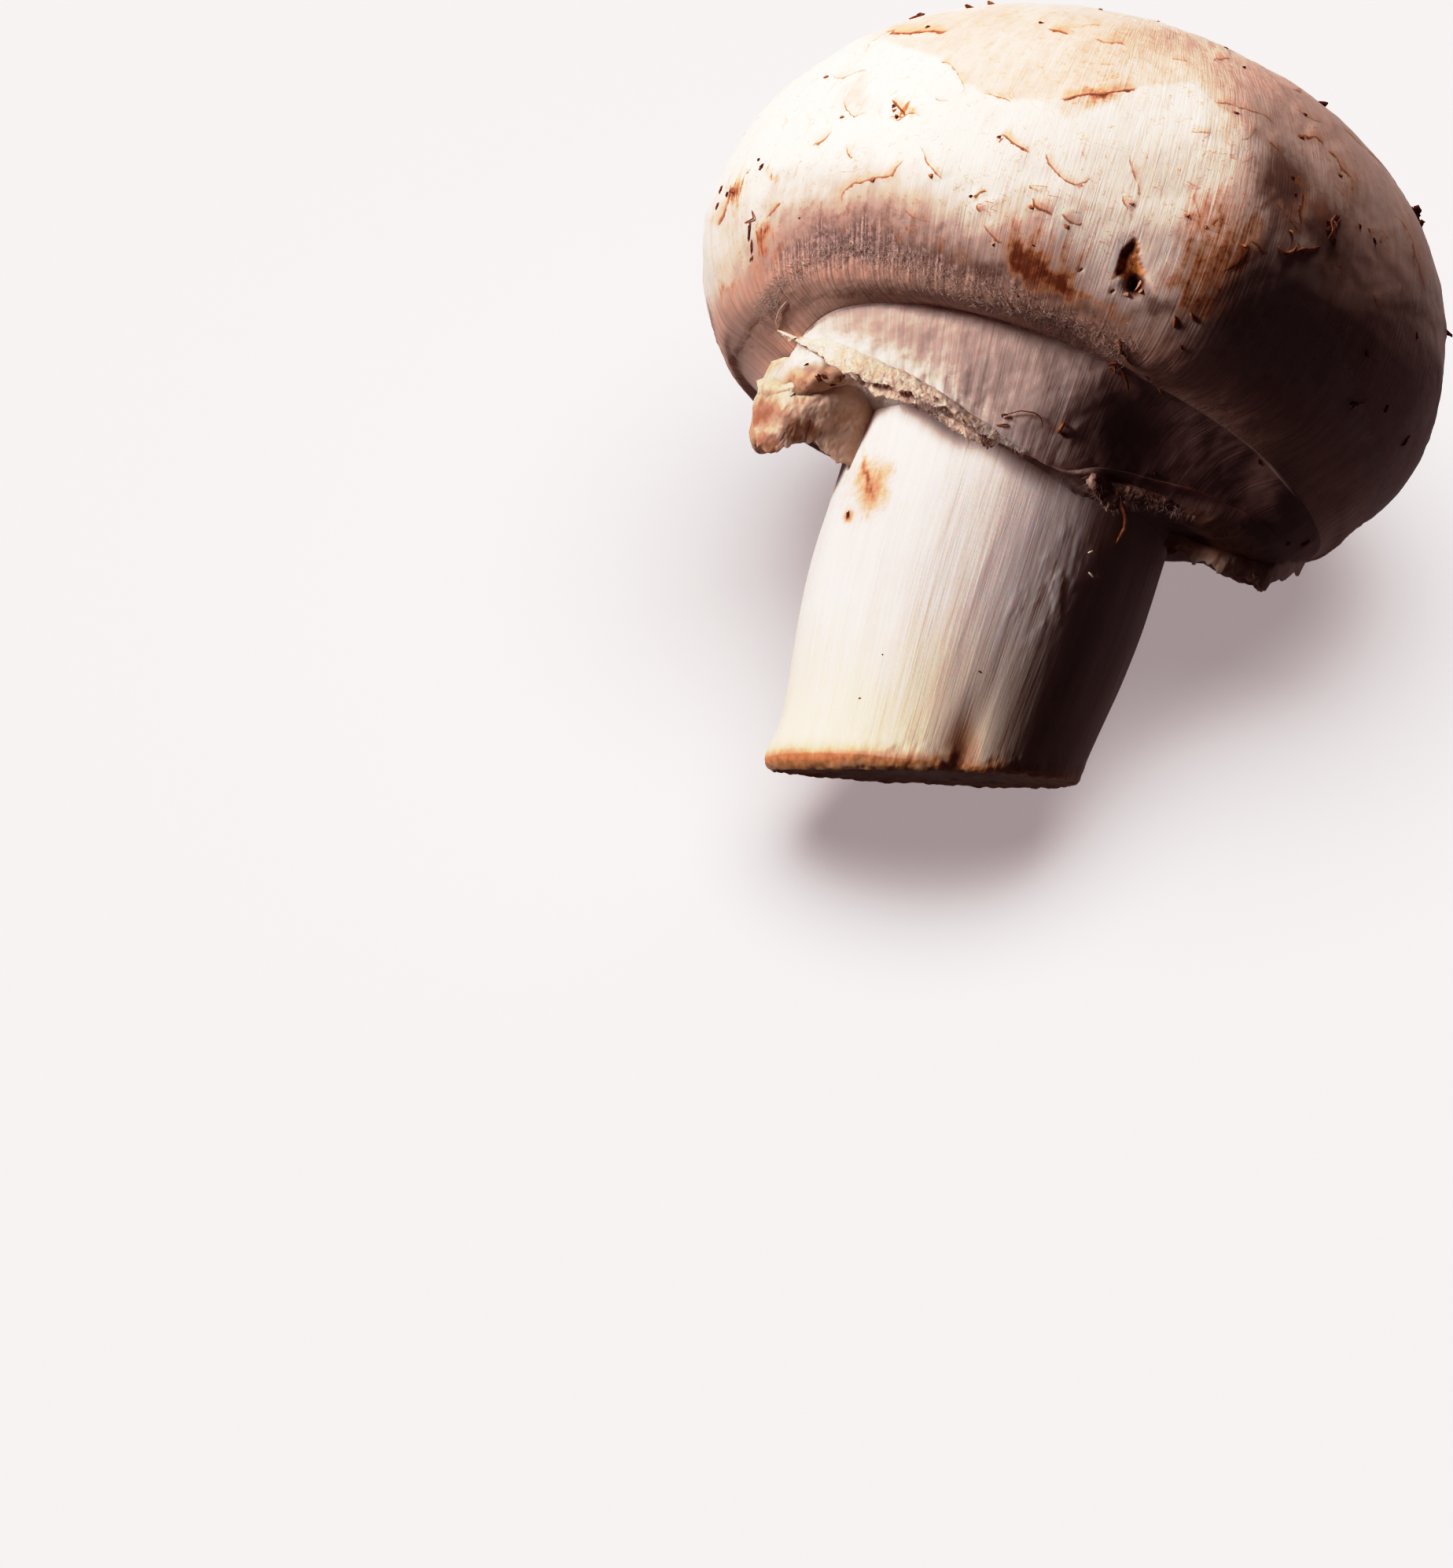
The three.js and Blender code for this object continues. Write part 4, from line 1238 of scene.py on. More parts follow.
@dataclass(frozen=True)
class CapSkin:
    """The cap's silky skin: cream, with tan patches, brown scale edges, a fuzzy margin and bruises, and
    painted shade on its right, under the rim and in the torn pit.
    """

    white: tuple = (0.85, 0.79, 0.73)
    cream: tuple = (0.77, 0.65, 0.565)
    sand: tuple = (0.65, 0.46, 0.38)
    tan: tuple = (0.64, 0.35, 0.18)
    rust: tuple = (0.42, 0.18, 0.07)
    brown: tuple = (0.21, 0.07, 0.028)
    # the colour of bruises, and of the painted shade on the right and under the rim
    bruise_and_shade: tuple = (0.155, 0.09, 0.065)
    wound: tuple = (0.80, 0.42, 0.16)
    # painted shadow in the torn pit's deep hole
    shaded_hole: tuple = (0.06, 0.02, 0.015)
    # low and margin: partly the skin's own greyish brown there, partly painted shade where the rim turns
    # down from the light
    low: tuple = (0.45, 0.325, 0.265)
    margin: tuple = (0.26, 0.165, 0.14)
    fuzz: tuple = (0.70, 0.58, 0.52)
    rolled: tuple = (0.76, 0.54, 0.42)

    def shader(self) -> Shader:
        """The skin's material.

        Returns:
            The shader.
        """
        s = Shader("cap_skin")
        place = s.upright()
        silk = s.noise(s.fibres(150, 3.0), 1.0, 2, 0.55)
        strands = s.noise(s.fibres(34, 5.0), 1.0, 3, 0.6)
        cloud = s.noise(place, 0.16, 3, 0.6)
        speck = s.noise(place, 1.7, 3, 0.65)
        wisp = s.noise(place, 0.42, 3, 0.6, 1.6)
        height = s.parts(place)[1]

        crown = height.between(19, 33)
        tan = s.attribute("tan") * 0.95 + (cloud - 0.5) + strands.sway(1.1) + silk.sway(0.5)
        tan = tan + crown * 0.28 * s.attribute("behind")
        colour = s.mix(tan.between(0.05, 0.75), self.white, self.cream)
        colour = s.mix((tan + speck.sway(0.8)).between(0.5, 1.4) * 0.75, colour, self.sand)
        thread = 1 - (wisp - 0.5).size().between(0.0, 0.018)
        colour = s.mix(thread * speck.between(0.45, 0.6) * 0.55, colour, self.tan)

        # Darker towards the rim: partly the skin's own colour there, partly painted shade where the cap
        # turns under
        end = s.attribute("above_end")
        low = 1 - (end + strands.sway(3.5) + cloud.sway(2.5)).between(0.3, 5.6)
        colour = s.mix(low * 0.8, colour, self.low)
        streak = (low - 0.35) + strands.sway(1.9) + speck.sway(1.1)
        colour = s.mix(streak.between(0.35, 0.95) * 0.45, colour, self.brown)
        # Bruises, and painted shade on the right and under the rim
        bruise_and_shade = s.attribute("bruise_and_shade")
        mottle = cloud.sway(0.8) + strands.sway(0.5) + speck.sway(0.4)
        mottle = mottle * (bruise_and_shade * 3).between(0, 1)
        colour = s.mix((bruise_and_shade + mottle).between(0.1, 1.1) * 0.8, colour, self.bruise_and_shade)
        stain = s.attribute("brown")
        near = (stain * 2.5).between(0, 1)
        brown = stain * 1.1 + (strands.sway(1.3) + speck.sway(1.1) + silk.sway(1.3)) * near
        colour = s.mix(brown.between(0.05, 0.95) * 0.75, colour, self.tan)
        colour = s.mix(brown.between(0.45, 1.25) * 0.85, colour, self.rust)
        colour = s.mix((brown + speck.sway(1.2)).between(0.8, 1.6) * 0.95, colour, self.brown)
        gap = s.attribute("edge_gap")
        tone = s.attribute("edge_tone")
        ragged = gap + speck.sway(0.3)
        above = ragged.between(-0.06, 0.03)
        line = above * (1 - (ragged - tone * 0.07).between(0.0, 0.16)) * tone
        fade = 1 - ragged.between(0.0, 1.5)
        shade = above * fade * fade * tone * (strands * 1.3 + speck * 1.1)
        colour = s.mix(shade.between(0.14, 1.2) * 0.55, colour, self.tan)
        line = line * (speck * 2.4 + 0.1)
        colour = s.mix(line.between(0.25, 1.0) * 0.8, colour, self.rust)
        colour = s.mix(line.between(0.8, 1.5) * 0.8, colour, self.brown)
        # The bare margin: its own brownish grey and pale fuzz, darkened with painted shade where it faces
        # down
        fuzzy = s.noise(place, 3.2, 3, 0.75)
        bare = s.attribute("margin")
        pale = (fuzzy * 0.7 + silk * 0.8).between(0.62, 0.95)
        worn = (bare + strands.sway(1.2) + fuzzy.sway(0.9)).between(0.15, 0.85)
        colour = s.mix(worn, colour, s.mix(pale * 0.75, self.margin, self.fuzz))
        rolled = s.mix((strands * 0.5 + silk * 0.9).between(0.4, 0.85), self.low, self.rolled)
        colour = s.mix(s.attribute("inroll") * 0.9, colour, rolled)
        torn = s.mix((speck + strands.sway(0.8)).between(0.35, 0.7), self.wound, self.brown)
        colour = s.mix(s.attribute("wound"), colour, torn)
        # Painted shadow in the pit's hole and at its upper end
        colour = s.mix((s.attribute("shaded_hole") * 1.2).between(0.2, 0.9), colour, self.shaded_hole)

        s.set(Base_Color=colour, Roughness=0.62 + silk.sway(0.12), Sheen_Weight=0.12, Sheen_Roughness=0.4)
        s.set(Specular_IOR_Level=0.35)
        s.flesh(1.6, 0.4)
        relief = silk * 0.42 + strands * 0.08 + speck * 0.25 + bare * fuzzy * 0.6
        s.bump(relief, 0.11, 0.9)
        return s


# --- The veil ---

@dataclass
class Veil:
    """The torn veil between the rim and the stalk, with its fluffy lip and hanging skirt."""

    rings: int = 520
    recess: float = 1.3  # how deep the veil falls back on the right
    recess_seen: tuple = (0.0, 10.5, 15.0, 19.0)  # across: it starts, is deepest, fades and is gone
    rows_between: tuple = (8, 16, 16, 18, 22, 34, 24)  # from the join to the crease
    tucked_join: tuple = (-1.2, -0.2)  # out and up from the join to the row hidden in the stalk
    tucked_crease: tuple = (0.5, 1.3)  # and from the crease to the row hidden in the cap
    core: float = 8.5  # the height of its hidden end on the axis
    fluffy: tuple = (-11.0, 5.6, 6.5, 2.2)  # the fluffy lip: across, along and half sizes
    lobes: tuple = ((-84, 26), (82, 28))  # the ragged hems: turn and half width in degrees
    painted_shade_seen: tuple = (1.6, 6.4)  # across: where the painted shade on the veil's right starts, and where it is darkest

    def outline(self, turns: Array) -> Array:
        """The veil's outline, from inside the stalk out to the crease and back in.

        Args:
            turns: The turns at which it is wanted.

        Returns:
            An array of turn, row, and radius and height.
        """
        steps = [np.arange(rows) / rows + key for key, rows in enumerate(self.rows_between)]
        places = np.concatenate([*steps, [Key.CREASE.value]])
        skin = GROWTH.curve(turns, places)
        low = skin[:, :1] + np.array(self.tucked_join)
        high = skin[:, -1:] + np.array(self.tucked_crease)
        foot = low * np.array([0, 1])
        top = np.broadcast_to([0.0, self.core], (len(turns), 1, 2))
        return np.concatenate([foot, low, skin, high, top], axis=1)

    def build(self) -> Skin:
        """Meshes the veil and roughens it.

        Returns:
            The veil, with the numbers that its finish reads.
        """
        skin = lathe("veil", self.outline, self.rings)
        bounds = np.cumsum([0, *self.rows_between]) + 2
        place = np.interp(skin.row, bounds, np.arange(len(bounds)))
        end = bounds[-1]
        inside = smoothstep(skin.row, 1, 6) * (1 - smoothstep(skin.row, end - 4, end))
        lip = bell((place - Key.LIP.value) / 0.55)
        front = bell(turn_between(skin.turn, -35) / 45)
        hem = bell((place - 2.2) / 0.8)
        fluff = grain(skin.upright, 0.8, 4)
        seen, angle = skin.seen(), np.radians(skin.turn)
        fluffy = oval(seen, *self.fluffy)
        lumps = grain(skin.upright + 20, 2.2, 3)
        long = joined(np.sin(angle) * 26, skin.upright[:, 1] / 5, np.cos(angle) * 26)
        stand = 0.02 * grain(long, 1.0, 3) + (0.03 * lip + 0.2 * fluffy) * fluff
        stand += 0.12 * lumps * (1 - 0.5 * lip) + 0.1 * hem * fluff
        starts, deepest, fades, gone = self.recess_seen
        right = smoothstep(seen[:, 0], starts, deepest) * (1 - smoothstep(seen[:, 0], fades, gone))
        right = right * bell((place - 5.2) / 2.2) * smoothstep(skin.facing(), 0.0, 0.2)
        stand = stand - self.recess * right
        skin.move(skin.points + skin.normals() * (stand * inside)[:, None] * MM)
        lobes = sum(bell(turn_between(skin.turn, turn) / half) for turn, half in self.lobes)
        shred = joined(angle * 16, np.zeros(len(angle)), place * 0.3)
        ragged = 0.55 * grain(shred, 1.6, 3) + 0.25 * grain(shred + 7, 0.6, 2)
        down = np.array(LAY.direction((0, 1, 0)))
        skin.move(skin.points + (hem * lobes * ragged * inside)[:, None] * down * MM)
        # Painted shade on the veil's right, where it falls back from the light
        skin.note("dim", smoothstep(seen[:, 0], *self.painted_shade_seen) * smoothstep(skin.facing(), -0.3, 0.1))
        skin.note("lip", np.maximum(0.6 * lip * front, fluffy))
        reach = skin.upright[:, 0] ** 2 + skin.upright[:, 2] ** 2
        skin.note("hem", smoothstep(-place, -3.6, -2.4) * smoothstep(reach, 150, 230))
        return skin


@dataclass(frozen=True)
class VeilTissue:
    """The veil's finish: silky white fibres, a fluffy cream lip, a browned hem and painted shade on its
    right.
    """

    white: tuple = (0.81, 0.70, 0.64)
    grey: tuple = (0.62, 0.52, 0.47)
    # painted shade for the veil's right side
    dim: tuple = (0.20, 0.13, 0.11)
    cream: tuple = (0.90, 0.82, 0.75)
    brown: tuple = (0.34, 0.16, 0.07)
    stain: tuple = (0.62, 0.42, 0.27)

    def shader(self) -> Shader:
        """The tissue's material.

        Returns:
            The shader.
        """
        s = Shader("veil_tissue")
        place = s.upright()
        silk = s.noise(s.fibres(90, 4.0), 1.0, 3, 0.6)
        strands = s.noise(s.fibres(22, 6.0), 1.0, 3, 0.6)
        fluff = s.noise(place, 2.4, 4, 0.7)
        cloud = s.noise(place, 0.35, 3, 0.6)
        pale = strands * 0.8 + silk * 0.5 + cloud.sway(0.6)
        colour = s.mix(pale.between(0.3, 0.95), self.grey, self.white)
        # Painted shade darkens the veil's right side
        dim = s.attribute("dim") * 1.2 + cloud.sway(0.5)
        colour = s.mix(dim.between(0.0, 1.2) * 0.85, colour, self.dim)
        lip = s.attribute("lip")
        colour = s.mix((lip * 1.2 + fluff.sway(0.8)).between(0.2, 0.8), colour, self.cream)
        hem = s.attribute("hem")
        colour = s.mix((hem + cloud.sway(0.9)).between(0.2, 1.1) * 0.85, colour, self.stain)
        brown = hem * 0.55 + cloud.sway(1.2) + fluff.sway(0.8)
        colour = s.mix(brown.between(0.55, 0.85), colour, self.brown)
        s.set(Base_Color=colour, Roughness=0.7, Sheen_Weight=0.15, Sheen_Roughness=0.5)
        s.set(Specular_IOR_Level=0.3)
        s.flesh(1.8, 0.4)
        s.bump(silk * 0.6 + strands * 0.1 + fluff * 0.4, 0.09, 0.8)
        return s


# --- The stalk ---

@dataclass
class Stalk:
    """The stalk, with its fibrils, its fold and its slanting cut."""

    rings: int = 480
    cut_rows: int = 44
    edge_rows: int = 12
    side_rows: int = 136
    edge_round: float = 0.3
    rolled_round: float = 0.9  # how much rounder it is where the skin has dried and rolled under
    rolled_turn: float = -50.0
    rolled_width: float = 55.0
    tucked: tuple = (-0.4, 1.5)  # out and up from the join to the row hidden in the cap
    core: float = 4.0  # the height of its hidden end on the axis
    # Patches as they are seen: across, along and half sizes
    wrinkled: tuple = (4.2, -4.5, 2.0, 4.0)
    tanned: tuple = (-9.0, -1.6, 1.5, 2.2)
    spot: tuple = (-9.85, -3.95, 0.3, 0.42)
    streak: tuple = (-9.5, -0.8, 0.2, 1.2)
    fold: tuple = (1.8, 1.3, 0.05)  # the brown fold by the cut: across, half width and lean
    fold_seen: tuple = (12.3, 17.5)  # below the ring: where it starts, and where it is full

    def outline(self, turns: Array) -> Array:
        """The stalk's outline, from the cut's centre to inside the cap.

        Args:
            turns: The turns at which it is wanted.

        Returns:
            An array of turn, row, and radius and height.
        """
        bottom = GROWTH.cut(np.full(turns.shape, GROWTH.stalk_foot_radius), turns)
        foot = GROWTH.stalk_radius(bottom, turns)
        edge_round = self.edge_round + self.rolled_round * bell(
            turn_between(turns, self.rolled_turn) / self.rolled_width)
        radius = (foot - edge_round)[:, None] * np.linspace(0, 1, self.cut_rows)[None, :]
        hollow = GROWTH.cut_hollow * (1 - (radius / foot[:, None]) ** 4)
        face = joined(radius, GROWTH.cut(radius, turns[:, None]) + hollow)
        low = GROWTH.cut(foot, turns) + edge_round
        bend = np.radians(np.linspace(0, 90, self.edge_rows + 2)[1:-1])[None, :]
        out = (foot - edge_round)[:, None] + edge_round[:, None] * np.sin(bend)
        corner = joined(out, low[:, None] - edge_round[:, None] * np.cos(bend))
        join = GROWTH.stations(turns)[:, 16]
        share = np.linspace(0, 1, self.side_rows)[None, :]
        height = low[:, None] + (join - low)[:, None] * share
        side = joined(GROWTH.stalk_radius(height, turns[:, None]), height)
        neck = side[:, -1:] + np.array(self.tucked)
        top = np.broadcast_to([0.0, self.core], (len(turns), 1, 2))
        return np.concatenate([face, corner, side, neck, top], axis=1)

    def build(self) -> Skin:
        """Meshes the stalk and raises its fibrils.

        Returns:
            The stalk, with the numbers that its finish reads.
        """
        skin = lathe("stalk", self.outline, self.rings)
        side = smoothstep(skin.row, self.cut_rows + 1, self.cut_rows + self.edge_rows + 6)
        turn, (x, height, z) = np.radians(skin.turn), skin.upright.T
        sway = 0.5 * grain(skin.upright + 5, 5.0, 2)
        narrow = joined(np.sin(turn) * 30 + sway, height / 6, np.cos(turn) * 30)
        wide = joined(np.sin(turn) * 6, height / 9, np.cos(turn) * 6)
        ribs, broad = grain(narrow, 1.0, 4), grain(wide, 1.0, 2)
        torn = grain(skin.upright + 60, 0.7, 4)
        cut = 1 - side
        seen = skin.seen()
        chips = np.maximum(0, grain(skin.upright * np.array([1, 0.45, 1]) + 11, 0.9, 3))
        chipped = oval(seen, *self.wrinkled) * chips
        stand = side * (0.012 * ribs + 0.05 * broad + 0.12 * chipped) + cut * 0.12 * torn
        edge_place = bell((skin.row - self.cut_rows - self.edge_rows) / 8)
        stand = stand + 0.12 * edge_place * grain(skin.upright + 33, 1.3, 3)
        skin.move(skin.points + skin.normals() * stand[:, None] * MM)

        reach = np.hypot(x, z)
        skin.note("above_cut", np.where(side > 0.5, height - GROWTH.cut(reach, skin.turn), 0))
        skin.note("cut", cut)
        skin.note("reach", reach / GROWTH.stalk_foot_radius)
        strayed = seen + 0.35 * grain(skin.upright + 80, 1.0, 3)[:, None]
        leaning = seen.copy()
        leaning[:, 0] = strayed[:, 0] + 0.5 * (seen[:, 1] - self.streak[1])
        stains = 1.1 * oval(strayed, *self.tanned) + 1.2 * oval(seen, *self.spot)
        skin.note("stain", stains + 0.7 * oval(leaning, *self.streak))
        middle, half, lean = self.fold
        fold = bell((seen[:, 0] - middle + lean * (seen[:, 1] + 17)) / half)
        skin.note("fold", fold * smoothstep(-seen[:, 1], *self.fold_seen))
        return skin


@dataclass(frozen=True)
class StalkSkin:
    """The stalk's finish: white fibrils, cream low down, and a browned cut."""

    white: tuple = (0.87, 0.83, 0.80)
    grey: tuple = (0.76, 0.69, 0.66)
    cream: tuple = (0.84, 0.75, 0.58)
    tan: tuple = (0.62, 0.34, 0.16)
    brown: tuple = (0.33, 0.14, 0.05)

    def shader(self) -> Shader:
        """The stalk's material.

        Returns:
            The shader.
        """
        s = Shader("stalk_skin")
        place = s.upright()
        silk = s.noise(s.fibres(80, 5.0), 1.0, 3, 0.6)
        strands = s.noise(s.fibres(20, 9.0), 1.0, 3, 0.6)
        cloud = s.noise(place, 0.3, 3, 0.6)
        speck = s.noise(place, 2.2, 3, 0.65)
        above = s.attribute("above_cut")
        cut = s.attribute("cut")
        pale = silk * 0.7 + strands * 0.5 + cloud.sway(0.3)
        colour = s.mix(pale.between(0.2, 0.85), self.grey, self.white)
        low = 1 - (above + strands.sway(9) + cloud.sway(6)).between(1.0, 14.0)
        colour = s.mix(low * 0.65, colour, self.cream)
        browned = 1 - (above + strands.sway(1.6) + cloud.sway(1.5)).between(0.0, 1.5)
        stain = s.attribute("stain") * 0.75 + speck.sway(0.6) + strands.sway(0.5)
        fold = s.attribute("fold") + cloud.sway(0.5)
        tan = browned.higher(stain.between(0.12, 0.85) * 0.8).higher(fold.between(0.1, 0.9) * 0.75)
        colour = s.mix(tan, colour, self.tan)
        brown = stain.between(0.75, 1.15).higher(fold.between(0.7, 1.3) * 0.8)
        colour = s.mix(brown, colour, self.brown)
        reach = s.attribute("reach")
        dried = reach + cloud.sway(0.9) + speck.sway(0.4)
        face = s.mix(dried.between(0.4, 1.1), self.cream, self.tan)
        face = s.mix((speck * 0.7 + reach * 0.35).between(0.62, 0.95) * 0.6, face, self.brown)
        colour = s.mix(cut, colour, face)
        s.set(Base_Color=colour, Roughness=0.6 + silk.sway(0.15), Sheen_Weight=0.1, Sheen_Roughness=0.4)
        s.set(Specular_IOR_Level=0.35)
        s.flesh(1.8, 0.4)
        s.bump(silk * 0.65 + strands * 0.04 + speck * 0.3, 0.07, 0.7)
        return s


# --- Loose and torn bits, set on the grown surface ---

class Ground:
    """The grown surface, on which small things are set by where they are seen."""

    def __init__(self, skins: list) -> None:
        """Gathers the faces of the mushroom's large pieces.

        Args:
            skins: The pieces.
        """
        corners, faces = [], []
        for skin in skins:
            start = len(corners)
            corners.extend(Vector(p) for p in skin.points)
            faces.extend([start + v for v in polygon.vertices] for polygon in skin.mesh.polygons)
        self.tree = BVHTree.FromPolygons(corners, faces)

    def under(self, across: float, along: float) -> tuple:
        """The surface seen at a place, or beside the mushroom the nearest to it.

        Args:
            across: Where it is seen, in millimetres from the veil ring.
            along: The same, up the stalk.

        Returns:
            The place in metres and the surface's direction there.
        """
        start = VIEW.place((across, along, 60))
        place, normal, _, _ = self.tree.ray_cast(start, VIEW.place((across, along, 0)) - start)
        if place is None:
            place, normal, _, _ = self.tree.find_nearest(VIEW.place((across, along, 0)))
        return place, normal

    def depth(self, across: float, along: float) -> float:
        """How far towards the viewer the surface seen at across and along is, in millimetres."""
        return VIEW.nearness(self.under(across, along)[0])

    def drawn(self, rng: random.Random, height: float) -> tuple:
        """The surface in a drawn direction from a point inside the mushroom.

        Args:
            rng: Draws the direction.
            height: Where that point is seen up the stalk, in millimetres from the veil ring.

        Returns:
            The place in metres and the surface's direction there, or twice nothing.
        """
        side = Vector([rng.gauss(0, 1) for _ in range(3)]).normalized()
        start = VIEW.place((0, height, 0)) + side * 0.1
        return self.tree.ray_cast(start, -side)[:2]


def along_path(path: tuple, share: Array) -> Array:
    """Points on a path of straight pieces.

    Args:
        path: Its corners.
        share: The shares of its length at which points are wanted.

    Returns:
        A row for each point.
    """
    corners = np.array(path, float)
    reach = np.concatenate([[0], np.cumsum(np.hypot(*np.diff(corners[:, :2], axis=0).T))])
    wanted = np.asarray(share) * reach[-1]
    return np.stack([np.interp(wanted, reach, axis) for axis in corners.T], axis=-1)


def thicken(bm: bmesh.types.BMesh, way: Vector) -> None:
    """Makes a sheet a closed slab.

    Args:
        bm: The sheet.
        way: From it to the slab's other side.
    """
    made = bmesh.ops.extrude_face_region(bm, geom=bm.faces[:])["geom"]
    bmesh.ops.translate(bm, verts=[v for v in made if isinstance(v, bmesh.types.BMVert)], vec=way)
    for vert in bm.verts:
        vert.co.z = max(vert.co.z, 0)
    bmesh.ops.recalc_face_normals(bm, faces=bm.faces)


def repeated(mesh: Mesh, count: int) -> Mesh:
    """Copies a mesh, with all its copies in one place.

    Args:
        mesh: The mesh, which is used up.
        count: How many copies are wanted.

    Returns:
        One mesh, with the copies one after the other.
    """
    row = put(mesh.name, mesh)
    copies = row.modifiers.new("copies", "ARRAY")
    copies.count, copies.use_relative_offset = count, False
    made = bpy.data.meshes.new_from_object(row.evaluated_get(bpy.context.evaluated_depsgraph_get()))
    bpy.data.objects.remove(row)
    bpy.data.meshes.remove(mesh)
    return made


def strands(name: str, paths: Array, radii: Array, sides: int) -> Mesh:
    """Tubes along paths, each wrapped from a grid and closed at its ends.

    Args:
        name: The piece's name.
        paths: An array of strand, ring, and x, y and z in metres.
        radii: An array of strand and ring, in metres.
        sides: How many sides a strand has.

    Returns:
        One mesh of them all.
    """
    count, rings = paths.shape[:2]
    bm = bmesh.new()
    made = bmesh.ops.create_grid(bm, x_segments=rings - 1, y_segments=sides, size=1)["verts"]
    for vert in made:
        angle = math.pi * vert.co.y
        vert.co = (round((vert.co.x + 1) / 2 * (rings - 1)), math.cos(angle), math.sin(angle))
    bmesh.ops.remove_doubles(bm, verts=bm.verts, dist=0.01)
    bmesh.ops.holes_fill(bm, edges=bm.edges, sides=sides)
    one = to_mesh(bm, "strand")
    spots = np.array([v.co for v in one.vertices])
    mesh = repeated(one, count)
    mesh.name = name
    ring = np.rint(spots[:, 0]).astype(int)
    forward = np.gradient(paths, axis=1)
    forward /= np.linalg.norm(forward, axis=2, keepdims=True) + 1e-12
    aside = np.cross(forward, np.array(VIEW.up()) + 0.01)
    aside /= np.linalg.norm(aside, axis=2, keepdims=True) + 1e-12
    over = np.cross(forward, aside)
    round_it = aside[:, ring] * spots[None, :, 1:2] + over[:, ring] * spots[None, :, 2:3]
    places = paths[:, ring] + round_it * radii[:, ring, None]
    places[..., 2] = np.maximum(places[..., 2], 0)
    mesh.vertices.foreach_set("co", places.astype(np.float32).ravel())
    mesh.update()
    return mesh


class Tissue(Enum):
    """Which finish a torn layer has."""

    TORN = "torn"
    LOBE = "lobe"
    # the veil's tissue darkened with painted shade, for the flap in the shade on the right
    DIM = "dim"


@dataclass
class TornSheet:
    """A thin torn layer of the veil, from where it is still grown on to its free edge."""

    name: str
    root: tuple  # the line along which it is grown on, as it is seen
    free: tuple  # its torn edge, as it is seen
    stands: float = 0.5  # how far the free edge stands off, in mm
    belly: float = 0.25  # how far it bulges between root and edge
    ruffle: float = 0.16
    thick: float = 0.22
    columns: int = 200
    rows: int = 26
    seed: float = 0.0
    depths: tuple = ()  # how far towards the viewer its root is, or none where it follows the ground
    spots: tuple = ()  # brown spots: across, along and half width
    tissue: Tissue = Tissue.TORN
    depth_steps: int = 25

    def root_depth(self, ground: Ground, share: Array) -> Array:
        """How far towards the viewer the layer's root is.

        Args:
            ground: The surface that it may follow.
            share: The shares of its length at which it is wanted.

        Returns:
            The depths in millimetres, evened out a little.
        """
        steps = np.linspace(0, 1, self.depth_steps)
        if self.depths:
            depths = np.interp(steps, np.linspace(0, 1, len(self.depths)), self.depths)
        else:
            depths = np.array([ground.depth(*p) for p in along_path(self.root, steps)])
        even = np.convolve(np.pad(depths, 1, "edge"), [0.25, 0.5, 0.25], "valid")
        return np.interp(share, steps, even)

    def build(self, ground: Ground) -> Mesh:
        """Meshes the layer over the ground.

        Args:
            ground: The surface that it is grown on to.

        Returns:
            The layer, with its brown spots noted.
        """
        share = np.linspace(0, 1, self.columns + 1)
        root, free = along_path(self.root, share), along_path(self.free, share)
        depth = self.root_depth(ground, share)
        bm = bmesh.new()
        made = bmesh.ops.create_grid(bm, x_segments=self.columns, y_segments=self.rows, size=1)["verts"]
        spots = np.array([(v.co.x, v.co.y) for v in made]) / 2 + 0.5
        column = np.rint(spots[:, 0] * self.columns).astype(int)
        t = spots[:, 1]
        place = root[column] + (free - root)[column] * t[:, None]
        wave = joined(place[:, 0], place[:, 1], t * 0 + self.seed)
        teeth = grain(joined(place[:, 0], place[:, 1] * 0.3, t * 0 + self.seed + 5), 0.6, 4)
        place[:, 1] += t**2 * 0.3 * teeth
        ends = smoothstep(share[column], 0, 0.1) * (1 - smoothstep(share[column], 0.7, 1))
        off = t**1.5 * self.stands + self.belly * np.sin(np.pi * t) ** 2
        grown = smoothstep(t, 0, 0.3)
        off = off * ends + self.ruffle * t * ends * grain(wave, 1.5, 4)
        off += 0.07 * grown * grain(wave + 3, 0.5, 4)
        off -= 0.4 * (1 - grown) + 0.3 * (1 - ends)
        for vert, (across, along), towards in zip(made, place, depth[column] + off):
            vert.co = VIEW.place((across, along, towards))
        thicken(bm, VIEW.back() * -self.thick * MM)
        mesh = to_mesh(bm, self.name)
        points = np.array([v.co for v in mesh.vertices])
        seen = VIEW.see(points)
        for axis, shift in enumerate((0, 9)):
            seen[:, axis] += 0.25 * grain(points / MM + shift, 0.7, 3)
        brown = np.zeros(len(points))
        for across, along, half in self.spots:
            brown = np.maximum(brown, bell(np.hypot(seen[:, 0] - across, seen[:, 1] - along) / half / 1.4))
        mesh.attributes.new("spot", "FLOAT", "POINT").data.foreach_set("value", brown)
        return mesh


